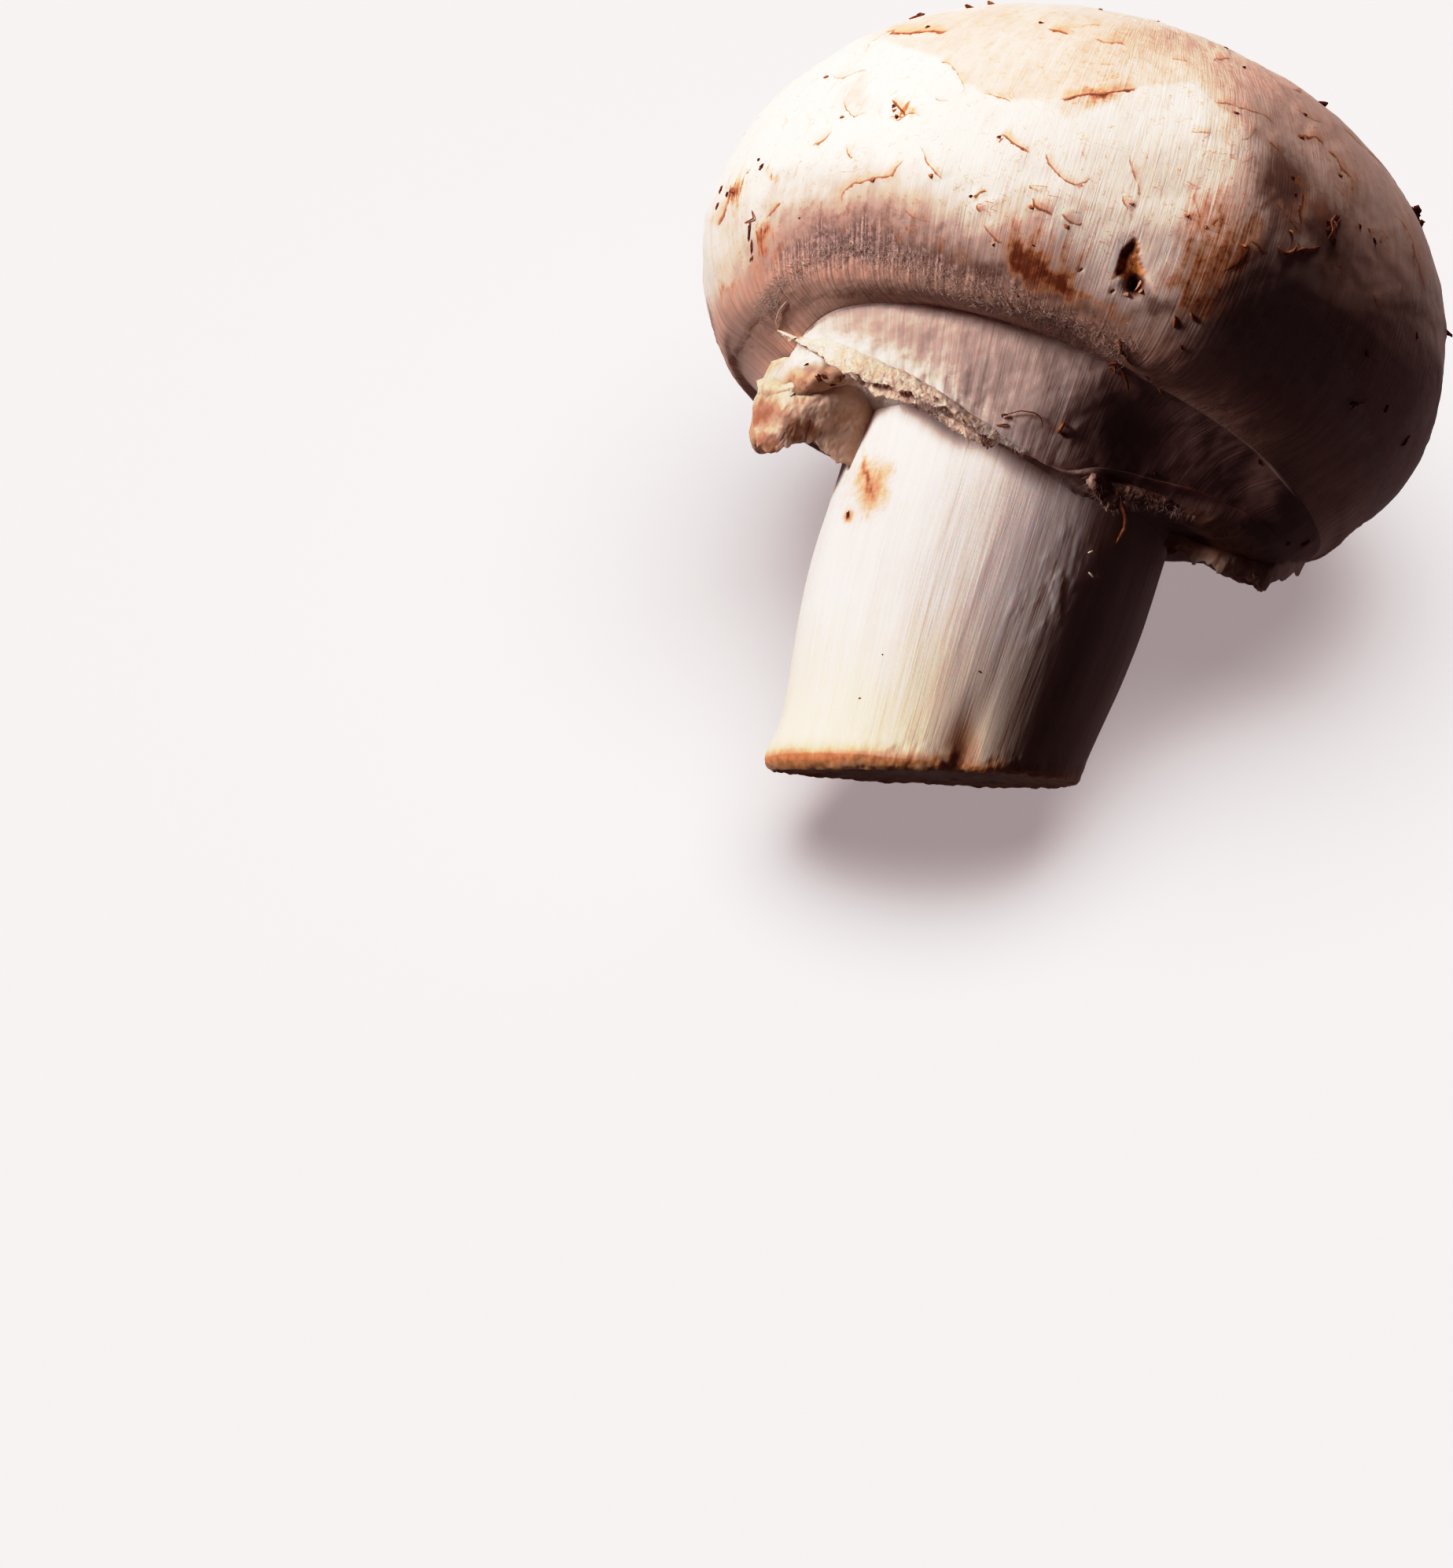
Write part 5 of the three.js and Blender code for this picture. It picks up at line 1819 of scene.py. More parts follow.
TORN_SHEETS = (
    TornSheet(
        "lobe_ridge",
        ((-18.3, 2.9), (-17.6, 3.4), (-16.4, 3.6), (-15.6, 4.2), (-14.6, 4.7), (-13.6, 4.5), (-12.8, 4.3)),
        ((-17.6, 1.6), (-17, 2), (-16.1, 2.3), (-15.3, 3.2), (-14.7, 3.6), (-13.9, 3.7), (-12.9, 3.8)),
        stands=0.5, belly=0.4, ruffle=0.2, columns=110, rows=16, seed=6, tissue=Tissue.LOBE,
        depths=(3.5, 4.4, 5.2, 5.7, 6, 6, 5.9),
    ),
    TornSheet(
        "lobe_skirt",
        ((-17.7, 4.4), (-17, 4.9), (-16, 5.2), (-14.6, 5.2), (-13, 5), (-11.6, 4.8), (-10.2, 4.4)),
        ((-18, 2.6), (-18, 1), (-17.5, -0.2), (-16.9, -1.3), (-15.9, -1.35), (-15.1, -0.8),
         (-14.7, -0.3), (-14.3, -0.1), (-13.7, -0.1), (-13.3, 0.1), (-12.4, -0.4), (-11.5, -0.6),
         (-10.4, -0.7)),
        stands=-0.5, belly=0.6, ruffle=0.2, thick=0.25, columns=190, rows=60, seed=7, tissue=Tissue.LOBE,
        depths=(2.2, 3.5, 4.6, 5.4, 5.8, 5.9, 5.7, 5.3, 4.8, 4.2),
        spots=((-17.2, 0.9, 0.9), (-17.6, 0.2, 0.5), (-15.2, 0.6, 0.7), (-13.9, 0.8, 0.5), (-14.7, 0.1, 0.4),
               (-16.4, -0.9, 0.8), (-16, -1.3, 0.5), (-15, 4, 0.5)),
    ),
    TornSheet(
        "hem_right",
        ((10.9, 1.6), (12.6, 1.4), (14.6, 1.3), (16.6, 1.3), (18.4, 1.8), (20, 2.2)),
        ((10.6, 0.3), (11.4, -0.1), (12, 0.3), (12.8, -0.2), (13.6, 0.1), (14.6, -0.3), (15.4, 0.1),
         (16.1, -0.3), (16.9, 0), (17.6, -0.6), (18.2, 0), (19, 0.6), (19.8, 1.2)),
        stands=0.2, belly=0.1, ruffle=0.3, columns=150, rows=12, seed=8, tissue=Tissue.LOBE,
    ),
    TornSheet(
        "drop_bit",
        ((16.7, 0.9), (17.3, 0.9), (18.3, 0.9)),
        ((16.8, 0.1), (17, -0.5), (17.5, -0.75), (18, -0.5), (18.2, 0.2)),
        stands=0.3, belly=0.5, ruffle=0.1, thick=0.5, columns=40, rows=12, seed=9, tissue=Tissue.LOBE,
    ),
    TornSheet(
        "lip_upper",
        ((-17.9, 6.6), (-16.4, 6.5), (-15.3, 6.9), (-14, 7.2), (-12, 7), (-9, 6.6),
         (-6.5, 6), (-4.2, 5.2), (-2, 4.7), (0, 4.3)),
        ((-17.9, 6.4), (-16.6, 6.2), (-15.6, 5.9), (-14.6, 5.8), (-14.3, 5.4), (-13.2, 5.2), (-12.2, 5.1),
         (-10.1, 5.1), (-8.3, 5.1), (-7.8, 4.8), (-6.2, 4.8), (-5.2, 4.6), (-4.2, 4.1), (-2.6, 3.8),
         (-1, 3.6), (0.2, 3.5)),
        ruffle=0.1, columns=260, seed=1,
    ),
    TornSheet(
        "lip_lower",
        ((-12.8, 5.5), (-11, 5.4), (-9, 5.3), (-7, 5.1), (-5.8, 4.9)),
        ((-12.8, 5), (-12, 4.8), (-11.2, 4.5), (-10.4, 4.3), (-9.6, 4.2), (-8.8, 4.3), (-8.1, 4.4),
         (-7.5, 4.5), (-7, 4.3), (-6.5, 4.2), (-5.8, 4.4)),
        stands=0.2, belly=0.1, ruffle=0.15, columns=140, rows=10, seed=2,
    ),
    TornSheet(
        "lip_tail",
        ((-6.2, 4.6), (-5, 4.5), (-3.8, 4.2), (-2.2, 4)),
        ((-6.2, 4.1), (-5.2, 3.7), (-4.2, 3.4), (-3.1, 3.2), (-2.4, 3.1), (-1.9, 3.5)),
        stands=0.35, belly=0.15, ruffle=0.2, columns=100, rows=10, seed=3,
    ),
    # This flap's darker tissue is painted shade.
    TornSheet(
        "right_flap",
        ((4.2, 3.9), (6.8, 3.9), (8.8, 3.8), (10.4, 3.7), (11.6, 3.2), (12.2, 2.9)),
        ((4.5, 3), (5.2, 2.3), (5.8, 1.9), (6.4, 1.5), (6.8, 1.5), (7.3, 2.1), (8.6, 2.5), (10, 2.6),
         (11.4, 2.7), (12.2, 2.8)),
        stands=0.2, belly=0.2, ruffle=0.25, columns=150, rows=14, seed=4, tissue=Tissue.DIM,
    ),
)


FRINGED = tuple(sheet for sheet in TORN_SHEETS if sheet.tissue != Tissue.LOBE)
# Along which the rim's fuzz stands, as it is seen
RIM_FUZZ_LINE = (
    (-19.2, 7.6), (-18.6, 9.6), (-17.6, 11.2), (-16, 12.6), (-14, 13.4), (-11, 13.3), (-8, 13),
    (-5, 12.9), (-2, 12.6), (1.5, 12.2), (5, 11.9),
)


@dataclass
class Fringe:
    """Short torn fibres along the free edges of the veil's layers, and the rim's fuzz."""

    count: int = 700
    fuzz: int = 2400
    length: tuple = (0.25, 0.9)
    radius: float = 0.016
    fuzz_radius: float = 0.02
    weights: tuple = (5, 3, 1.5, 2.5)  # how often a fibre is on each fringed layer
    seed: int = 31

    def build(self, ground: Ground) -> Mesh:
        """Meshes the fibres, each a tapered strand that curls away from its root.

        Args:
            ground: The surface that the layers are grown on to.

        Returns:
            One mesh of them all.
        """
        rng = random.Random(self.seed)
        paths = []
        for _ in range(self.count):
            sheet = rng.choices(FRINGED, weights=self.weights)[0]
            share = rng.random()
            root, free = along_path(sheet.root, [share])[0], along_path(sheet.free, [share])[0]
            t = rng.choice((0.55, 0.8, 0.97, 0.97, 0.97))
            across, along = root + (free - root) * t
            depth = ground.depth(*root) + 0.12 + t * sheet.stands + sheet.belly * math.sin(math.pi * t)
            long = rng.uniform(*self.length)
            lean = rng.gauss(0, 0.45)
            steps = np.linspace(0, 1, 5)
            curl = rng.uniform(-0.6, 0.9)
            seen = joined(
                across + long * (lean * steps + rng.uniform(-0.3, 0.3) * steps**2),
                along - long * steps * (0.5 + 0.3 * rng.random()),
                depth + long * curl * steps**2 * 0.8
            )
            paths.append([VIEW.place(tuple(p)) for p in seen])
        return self.hairs("lip_fringe", paths, self.radius)

    def hairs(self, name: str, paths: list, radius: float) -> Mesh:
        """Meshes tapered three-sided hairs.

        Args:
            name: The piece's name.
            paths: Each hair's points in metres, from its root.
            radius: Of their roots, in millimetres.

        Returns:
            One mesh of them all.
        """
        taper = radius * MM * np.linspace(1, 0.1, len(paths[0]))
        return strands(name, np.array(paths), np.tile(taper, (len(paths), 1)), 3)

    def rim_fuzz(self, ground: Ground) -> Mesh:
        """Meshes the pale fuzz that stands on the rim where the skin ends.

        Args:
            ground: The surface that it stands on.

        Returns:
            One mesh of it all.
        """
        rng = random.Random(self.seed + 1)
        paths = []
        steps = np.linspace(0, 1, 5)
        for _ in range(self.fuzz):
            across, along = along_path(RIM_FUZZ_LINE, [rng.random() ** 1.4])[0]
            across += rng.gauss(0, 0.35)
            along += rng.gauss(0, 0.55)
            depth = ground.depth(across, along)
            long = rng.uniform(0.2, 0.7)
            lean = rng.gauss(-0.15, 0.6)
            bend = rng.uniform(-0.5, 0.5)
            seen = joined(
                across + long * (lean * steps + bend * steps**2),
                along - long * steps * rng.uniform(0.2, 0.9) + 0.2 * long * steps**2,
                depth - 0.02 + long * 0.55 * steps * (1.2 - 0.5 * steps)
            )
            paths.append([VIEW.place(tuple(p)) for p in seen])
        return self.hairs("rim_fuzz", paths, self.fuzz_radius)


@dataclass(frozen=True)
class Crumb:
    """A crumb of soil or a scrap of dark skin: where it is seen, its sizes and its tilt."""

    across: float
    along: float
    wide: float
    high: float
    tilt: float = 0.0
    thick: float = 0.3


# Each row: across, along, width and height, then where they differ its tilt and thickness
CRUMBS = tuple(Crumb(*row) for row in (
    (11.3, 30.3, 0.35, 0.16, -20), (6.5, 32.1, 0.3, 0.14, -30), (11.7, 26.1, 0.45, 0.25),
    (12.2, 25.1, 0.3, 0.2), (15.3, 24.4, 0.45, 0.7, -15), (15, 23.4, 0.5, 0.6, 20),
    (15.5, 22.9, 0.4, 0.5), (14.8, 24, 0.3, 0.35), (16.9, 24.3, 0.2, 0.45, 15),
    (18.1, 23.7, 0.4, 0.2, -30), (-15.2, 29.3, 1.1, 0.7, 10, 0.6), (20.3, 26.4, 1.2, 0.9, -40, 0.9),
    (20.7, 25.7, 0.7, 0.8, -50, 0.7), (-7.2, 31, 0.4, 0.18, 5), (-14.9, 22.9, 0.28, 0.35, 20),
    (-14.5, 22.3, 0.4, 0.28, -40), (-8.3, 18.7, 0.28, 0.24, 30), (-24.2, 14.3, 0.6, 0.5, 10, 0.3),
    (-23.7, 14.1, 0.5, 0.3, 20), (-24.1, 13.2, 0.25, 0.7, -8), (-21.6, 12.1, 0.36, 1.3, 12, 0.15),
    (-21.15, 11.2, 0.3, 1.1, 15, 0.15), (-22.1, 16.5, 0.6, 0.4, 30), (-22.4, 16.9, 0.3, 0.25),
    (-3.4, 16.8, 0.2, 0.12, -30), (-3.4, 13.3, 0.22, 0.14, -20), (0.3, 12.3, 0.22, 0.12, 15),
    (8, 13.2, 0.45, 0.25, -35), (3.4, 16.3, 0.45, 0.5), (8.7, 4.7, 0.6, 0.25, 0),
    (12.6, 1.5, 0.6, 0.35, 0, 0.3), (15.1, 7.5, 0.25, 0.7, 35), (19.6, 3.2, 0.8, 0.6, 20, 0.3),
    (18.5, 2.9, 0.4, 0.5), (20, 13, 1.2, 0.35, -5), (22.1, 13.3, 0.5, 0.7, 0),
    (23.9, 11.6, 0.25, 0.9, -20), (22.6, 18.5, 0.2, 0.6, 10), (19.8, 16.4, 0.35, 0.5, 20),
    (-14.4, 4.3, 0.4, 0.6, 40, 0.25), (-14.1, 4.5, 0.7, 0.3, -15, 0.2), (-13.4, 4.1, 0.6, 0.12, -10),
    (-13, 4.6, 0.1, 0.4, 20), (-15.4, 4.9, 0.45, 0.12, 30), (-9.9, -3.8, 0.3, 0.5, 10, 0.15),
    (-4.9, 4.1, 0.9, 0.3, -10, 0.15), (2.2, 5.4, 0.5, 0.2, -15), (-5.6, -15.2, 0.2, 0.12, 20, 0.1),
    (1.5, -11.2, 0.25, 0.1, -15, 0.1), (-5, -12, 0.12, 0.1, 0, 0.1),
    (-18.7, 14, 0.18, 0.14, 30, 0.15), (-3.7, 33, 0.3, 0.2, 0, 0.2), (5, 33, 0.35, 0.2, 0, 0.2),
))


@dataclass
class Soil:
    """Crumbs of dark soil and skin, those listed and others scattered out of sight."""

    scattered: int = 46
    scales: tuple = (0.8, 0.8, 0.7)  # of the width, height and thickness of those listed
    middle: float = 12.0  # the height inside the mushroom that the others are scattered from
    turned: float = -0.05  # they lie where the surface faces the viewer less than this
    clear: float = 0.003  # and at least this high above the table, in metres
    seed: int = 47

    def build(self, ground: Ground) -> Mesh:
        """Meshes every crumb as a squashed, roughened ball.

        Args:
            ground: The surface that they sit on.

        Returns:
            One mesh of them all.
        """
        rng = random.Random(self.seed)
        bm = bmesh.new()
        for index, crumb in enumerate(CRUMBS):
            place, normal = ground.under(crumb.across, crumb.along)
            lean = math.radians(crumb.tilt)
            wide = VIEW.across() * math.cos(lean) + VIEW.along() * math.sin(lean)
            sizes = (crumb.wide, crumb.high, crumb.thick)
            sizes = tuple(share * size for share, size in zip(self.scales, sizes))
            self.add(bm, place, normal, wide, sizes, index)
        for index in range(self.scattered):
            place, normal = ground.drawn(rng, self.middle)
            if place is None or normal.dot(VIEW.back()) > self.turned or place.z < self.clear:
                continue
            size = rng.uniform(0.15, 0.5)
            shape = (size, size * rng.uniform(0.4, 1), size * 0.5)
            wide = Vector([rng.random() for _ in range(3)])
            self.add(bm, place, normal, wide, shape, 100 + index)
        return to_mesh(bm, "soil_crumbs")

    def add(self, bm: bmesh.types.BMesh, place: Vector, normal: Vector, wide: Vector, sizes: tuple,
            index: int) -> None:
        """Adds one crumb.

        Args:
            bm: What it is added to.
            place: Where it sits.
            normal: The surface's direction there.
            wide: The direction of its width.
            sizes: Its width, height and thickness in millimetres.
            index: Its number, which gives its roughness.
        """
        first = (wide - normal * wide.dot(normal)).normalized()
        second = normal.cross(first)
        turn = Matrix((first, second, normal)).transposed()
        made = bmesh.ops.create_icosphere(bm, subdivisions=3, radius=1)["verts"]
        for vert in made:
            rough = 1 + 0.8 * noise.fractal(vert.co * 1.6 + Vector((index * 3.1, 0, 0)), 0.7, 2.2, 4)
            local = Vector(vert.co[i] * sizes[i] / 2 * rough for i in range(3))
            vert.co = place + turn @ local * MM
            vert.co.z = max(vert.co.z, 0)


@dataclass(frozen=True)
class Fibre:
    """A dry fibre or curled sliver, by where it is seen, its width and how far it stands off."""

    path: tuple
    width: float
    stands: float = 0.3


# Each row: the path, the width and where it differs how far it stands off
DRY_FIBRES = tuple(Fibre(*row) for row in (
    (((-2.1, 5.3), (-1.8, 5.6), (-1, 6.1), (0, 6.25), (0.5, 6), (0.8, 5.3)), 0.09),
    (((-2, 5.3), (-2.1, 5.5), (-1.7, 5.6)), 0.14), (((-2.3, 4.7), (-1.8, 4.9), (-1.5, 5)), 0.12, 0.15),
    (((1.8, 5.4), (1.9, 5.8), (2, 6.2)), 0.3, 0.2),
    (((3.5, 10.7), (4.1, 11), (4.7, 10.6), (5.2, 9.9), (5.5, 9.3)), 0.26, 0.5),
    (((3.8, 10.5), (4.3, 10.2), (4.1, 10.7), (3.6, 10.4)), 0.14, 0.4),
    (((3.8, 12.5), (4.1, 12.1), (4.3, 11.6)), 0.26, 0.3),
    (((4.2, 11.7), (4.8, 11.4), (5.2, 11.1)), 0.2, 0.3),
    (((7.2, 10.2), (7.5, 10), (7.9, 9.8)), 0.16, 0.3),
    (((6.2, 10.7), (6.5, 10.6), (6.6, 10.4)), 0.1, 0.3),
    (((6.5, 3.1), (7.1, 2.2), (7.7, 1.5), (7.9, 0.8), (7.75, 0.1), (7.6, -0.5)), 0.34, 0.9),
    (((6.3, 3.3), (6.6, 3), (7, 2.3), (7.4, 1.8)), 0.2, 0.7),
    (((15.2, 24.7), (15, 24.1), (15.3, 23.5), (15.1, 22.8)), 0.14, 0.5),
    (((14.9, 24.3), (15.4, 24), (15.6, 23.2)), 0.12, 0.45),
    (((15.6, 24.6), (15.3, 23.9), (15.5, 23)), 0.1, 0.4),
    (((19.8, 12.4), (20.1, 13), (20.8, 13.3)), 0.16, 0.4),
    (((-22.1, 12.6), (-21.6, 13.1), (-21.9, 13.6)), 0.1, 0.3),
    (((6.9, 15.1), (7.05, 14.7), (7.1, 14.3)), 0.22, 0.1),
    (((7.8, 15.6), (8.1, 15.3), (8.3, 15.1)), 0.2, 0.1),
    (((12.1, 21.5), (12.5, 21.2), (12.9, 21.2), (13.2, 21.5), (13.3, 21.9)), 0.26, 0.06),
    (((13.2, 21.3), (13.7, 21.8), (14.2, 21.9), (14.8, 22.3)), 0.2, 0.06),
))


PALE_FIBRES = tuple(Fibre(*row) for row in (
    (((-17.9, 6.5), (-18.2, 7.1), (-18.2, 7.8), (-17.9, 8.5)), 0.12, 0.3),
    (((-18, 6.5), (-17, 6.35), (-16.2, 6.2), (-15.2, 5.9), (-14.2, 5.6)), 0.34, 0.2),
    (((6, -1.6), (6.3, -1.4), (6.5, -1.5)), 0.16, 0.2),
    (((6.4, -2.8), (6.9, -3), (7.3, -2.9)), 0.2, 0.2),
))


@dataclass
class Fibres:
    """Fibres, threads and curled slivers that cling to the mushroom."""

    name: str
    fibres: tuple

    def build(self, ground: Ground) -> Mesh:
        """Meshes every fibre as a tapered strand.

        Args:
            ground: The surface that they cling to.

        Returns:
            One mesh of them all.
        """
        paths, radii = [], []
        for fibre in self.fibres:
            share = np.linspace(0, 1, 14)
            seen = along_path(fibre.path, share)
            depth = np.array([ground.depth(*p) for p in seen])
            depth = np.maximum(depth, np.interp(share, [0, 1], [depth[0], depth[-1]]))
            arch = fibre.stands * (0.25 + np.sin(np.pi * share))
            points = np.array([
                VIEW.place((x, y, d + a)) for (x, y), d, a in zip(seen, depth, arch)
            ])
            thick = fibre.width / 2 * MM * (0.25 + 0.75 * np.sin(np.pi * np.clip(share, 0.02, 0.98)) ** 0.5)
            thick[[0, -1]] = 1e-6
            paths.append(points)
            radii.append(thick)
        return strands(self.name, np.array(paths), np.array(radii), 6)


@dataclass(frozen=True)
class Flake:
    """A thin curled flake of skin: where its root is seen, which way it points, and its size."""

    across: float
    along: float
    points: float  # in degrees, 0 to the right and 90 up the stalk
    length: float
    width: float
    curl: float = 0.8


# Each row: across, along, which way it points, length, width and curl
CURLED_LIPS = tuple(Flake(*row) for row in (
    (4, 16.7, -70, 0.9, 0.45, 0.8), (4.25, 16.1, -35, 0.55, 0.5, 0.9), (3.35, 15.6, -60, 0.45, 0.5, 0.8),
    (-6, 16.2, -70, 0.4, 0.4, 0.4),
))
SKIN_FLAKES = tuple(Flake(*row) for row in (
    (9.9, 21, -80, 0.5, 0.7, 0.4), (11.2, 29, -50, 0.6, 0.8, 0.3), (-14.3, 28.6, -60, 0.5, 0.5, 0.3),
    (-7.7, 23.1, -60, 0.5, 0.5, 0.4), (-1.7, 18.8, -85, 0.5, 0.5, 0.4), (-4.3, 19.3, -70, 0.4, 0.7, 0.4),
    (-14.8, 22.8, -60, 0.5, 0.5, 0.4), (-11.3, 19.4, -60, 0.5, 0.5, 0.3), (-17.9, 21.4, -90, 0.5, 0.6, 0.4),
    (-14.9, 18, -60, 0.5, 0.7, 0.3), (-19.6, 23.6, -110, 0.5, 0.6, 0.3),
    (-23.4, 14.6, 200, 0.6, 0.6, 0.5), (-21, 10.8, -80, 0.6, 0.4, 0.4), (2, 21.4, -80, 0.4, 0.5, 0.3),
    (5.7, 21.8, -70, 0.5, 0.5, 0.3), (7.1, 21.4, -60, 0.4, 0.4, 0.3), (6.8, 29.2, -80, 0.5, 0.7, 0.3),
    (14.5, 27.3, -50, 0.5, 0.6, 0.3), (12.6, 22.8, -70, 0.5, 0.5, 0.5),
))


@dataclass
class SkinFlakes:
    """Curled flakes of torn skin, those listed and others scattered out of sight."""

    name: str
    flakes: tuple
    scattered: int = 0
    thick: float = 0.06
    middle: float = 17.0  # the height inside the mushroom that the others are scattered from
    turned: float = 0.1  # they stand where the surface faces the viewer less than this
    clear: float = 0.002  # and at least this high above the table, in metres
    lowest: float = 13.0  # and this far up the stalk, in mm
    seed: int = 53

    def build(self, ground: Ground) -> Mesh:
        """Meshes every flake as a small curled tongue.

        Args:
            ground: The surface that they stand on.

        Returns:
            One mesh of them all.
        """
        rng = random.Random(self.seed)
        bm = bmesh.new()
        for flake in self.flakes:
            place, normal = ground.under(flake.across, flake.along)
            angle = math.radians(flake.points)
            forward = VIEW.across() * math.cos(angle) + VIEW.along() * math.sin(angle)
            self.add(bm, place, normal, forward, flake, rng.uniform(0, 50))
        down = LAY.direction((0, -1, 0))
        for _ in range(self.scattered):
            place, normal = ground.drawn(rng, self.middle)
            if place is None or normal.dot(VIEW.back()) > self.turned or place.z < self.clear:
                continue
            upright = LAY.turned().transposed() @ (place / MM - Vector(LAY.ring))
            if upright.y < self.lowest:
                continue
            flake = Flake(0, 0, 0, rng.uniform(0.4, 0.8), rng.uniform(0.5, 1.2), rng.uniform(0.4, 0.9))
            self.add(bm, place, normal, down, flake, rng.uniform(0, 50))
        return to_mesh(bm, self.name)

    def add(self, bm: bmesh.types.BMesh, place: Vector, normal: Vector, forward: Vector, flake: Flake,
            seed: float) -> None:
        """Adds one flake.

        Args:
            bm: What it is added to.
            place: Its root.
            normal: The surface's direction there.
            forward: Which way it points.
            flake: Its size.
            seed: For its ragged edge.
        """
        run = (forward - normal * forward.dot(normal)).normalized()
        aside = normal.cross(run)
        part = bmesh.new()
        made = bmesh.ops.create_grid(part, x_segments=10, y_segments=10, size=1)["verts"]
        for vert in made:
            s, t = vert.co.x, (vert.co.y + 1) / 2
            ragged = 1 + 0.35 * noise.noise(Vector((s * 2, seed, t)))
            narrow = math.sqrt(max(0.0, 1 - t * t)) * 0.8 + 0.2 * (1 - t)
            along = flake.length * t * ragged
            lift = 0.05 + flake.curl * flake.length * t * t * 0.6 - 0.12 * (1 - t) - 0.1 * abs(s) * (1 - t)
            local = aside * (s * narrow * flake.width / 2) + run * (along - 0.2) + normal * lift
            vert.co = place + local * MM
            vert.co.z = max(vert.co.z, 0)
        thicken(part, normal * -self.thick * MM)
        spare = bpy.data.meshes.new("flake")
        part.to_mesh(spare)
        part.free()
        bm.from_mesh(spare)
        bpy.data.meshes.remove(spare)


@dataclass(frozen=True)
class PlainFinish:
    """A finish of two colours that a noise mixes, with a rough grain."""

    name: str
    first: tuple
    second: tuple
    size: float = 1.2
    rough: float = 0.75
    depth: float = 0.1
    flesh: float = 0.0
    first_more: float = 0.0  # how much more of the first colour there is
    spot: tuple = (0.33, 0.13, 0.05)

    def shader(self) -> Shader:
        """The finish's material.

        Returns:
            The shader.
        """
        s = Shader(self.name)
        place = s.upright()
        cloud = s.noise(place, self.size, 4, 0.65)
        fine = s.noise(place, self.size * 4, 3, 0.6)
        mixed = cloud + fine.sway(0.5) - self.first_more
        colour = s.mix(mixed.between(0.32, 0.68), self.first, self.second)
        spot = s.attribute("spot") + fine.sway(0.5) + cloud.sway(0.4)
        colour = s.mix(spot.between(0.1, 1.15) * 0.85, colour, self.spot)
        s.set(Base_Color=colour, Roughness=self.rough, Specular_IOR_Level=0.3)
        if self.flesh:
            s.flesh(0.6, self.flesh)
        s.bump(fine * 0.6 + cloud * 0.4, self.depth, 0.8)
        return s


TORN_SKIN = PlainFinish("torn_skin", (0.87, 0.76, 0.68), (0.78, 0.63, 0.52), 1.3, 0.75, 0.12, 0.4)
# Veil tissue darkened with painted shade, for the flap on the shaded right
SHADED_TISSUE = PlainFinish("shaded_tissue", (0.52, 0.40, 0.33), (0.30, 0.20, 0.16), 1.0, 0.8, 0.12, 0.2)
LOBE_SKIN = PlainFinish(
    "lobe_skin", (0.80, 0.66, 0.55), (0.66, 0.47, 0.34), 0.25, 0.55, 0.04, 0.5, 0.04, (0.36, 0.17, 0.075),
)
CURLED_SKIN = PlainFinish("curled_skin", (0.66, 0.46, 0.33), (0.48, 0.27, 0.16), 1.2, 0.75, 0.1, 0.2)
FLAKE_SKIN = PlainFinish("flake_skin", (0.52, 0.27, 0.12), (0.26, 0.10, 0.045), 1.6, 0.65, 0.08)
DARK_SOIL = PlainFinish("dark_soil", (0.30, 0.10, 0.045), (0.09, 0.03, 0.016), 2.0, 0.7, 0.12)
DRY_FIBRE = PlainFinish("dry_fibre", (0.42, 0.22, 0.11), (0.2, 0.08, 0.035), 2.5, 0.6, 0.05)


# --- The studio ---

@dataclass(frozen=True)
class Lamp:
    """A round soft light: where it is seen from, how far, how wide, its power and its colour."""

    name: str
    source: tuple
    far: float
    size: float
    power: float
    colour: tuple


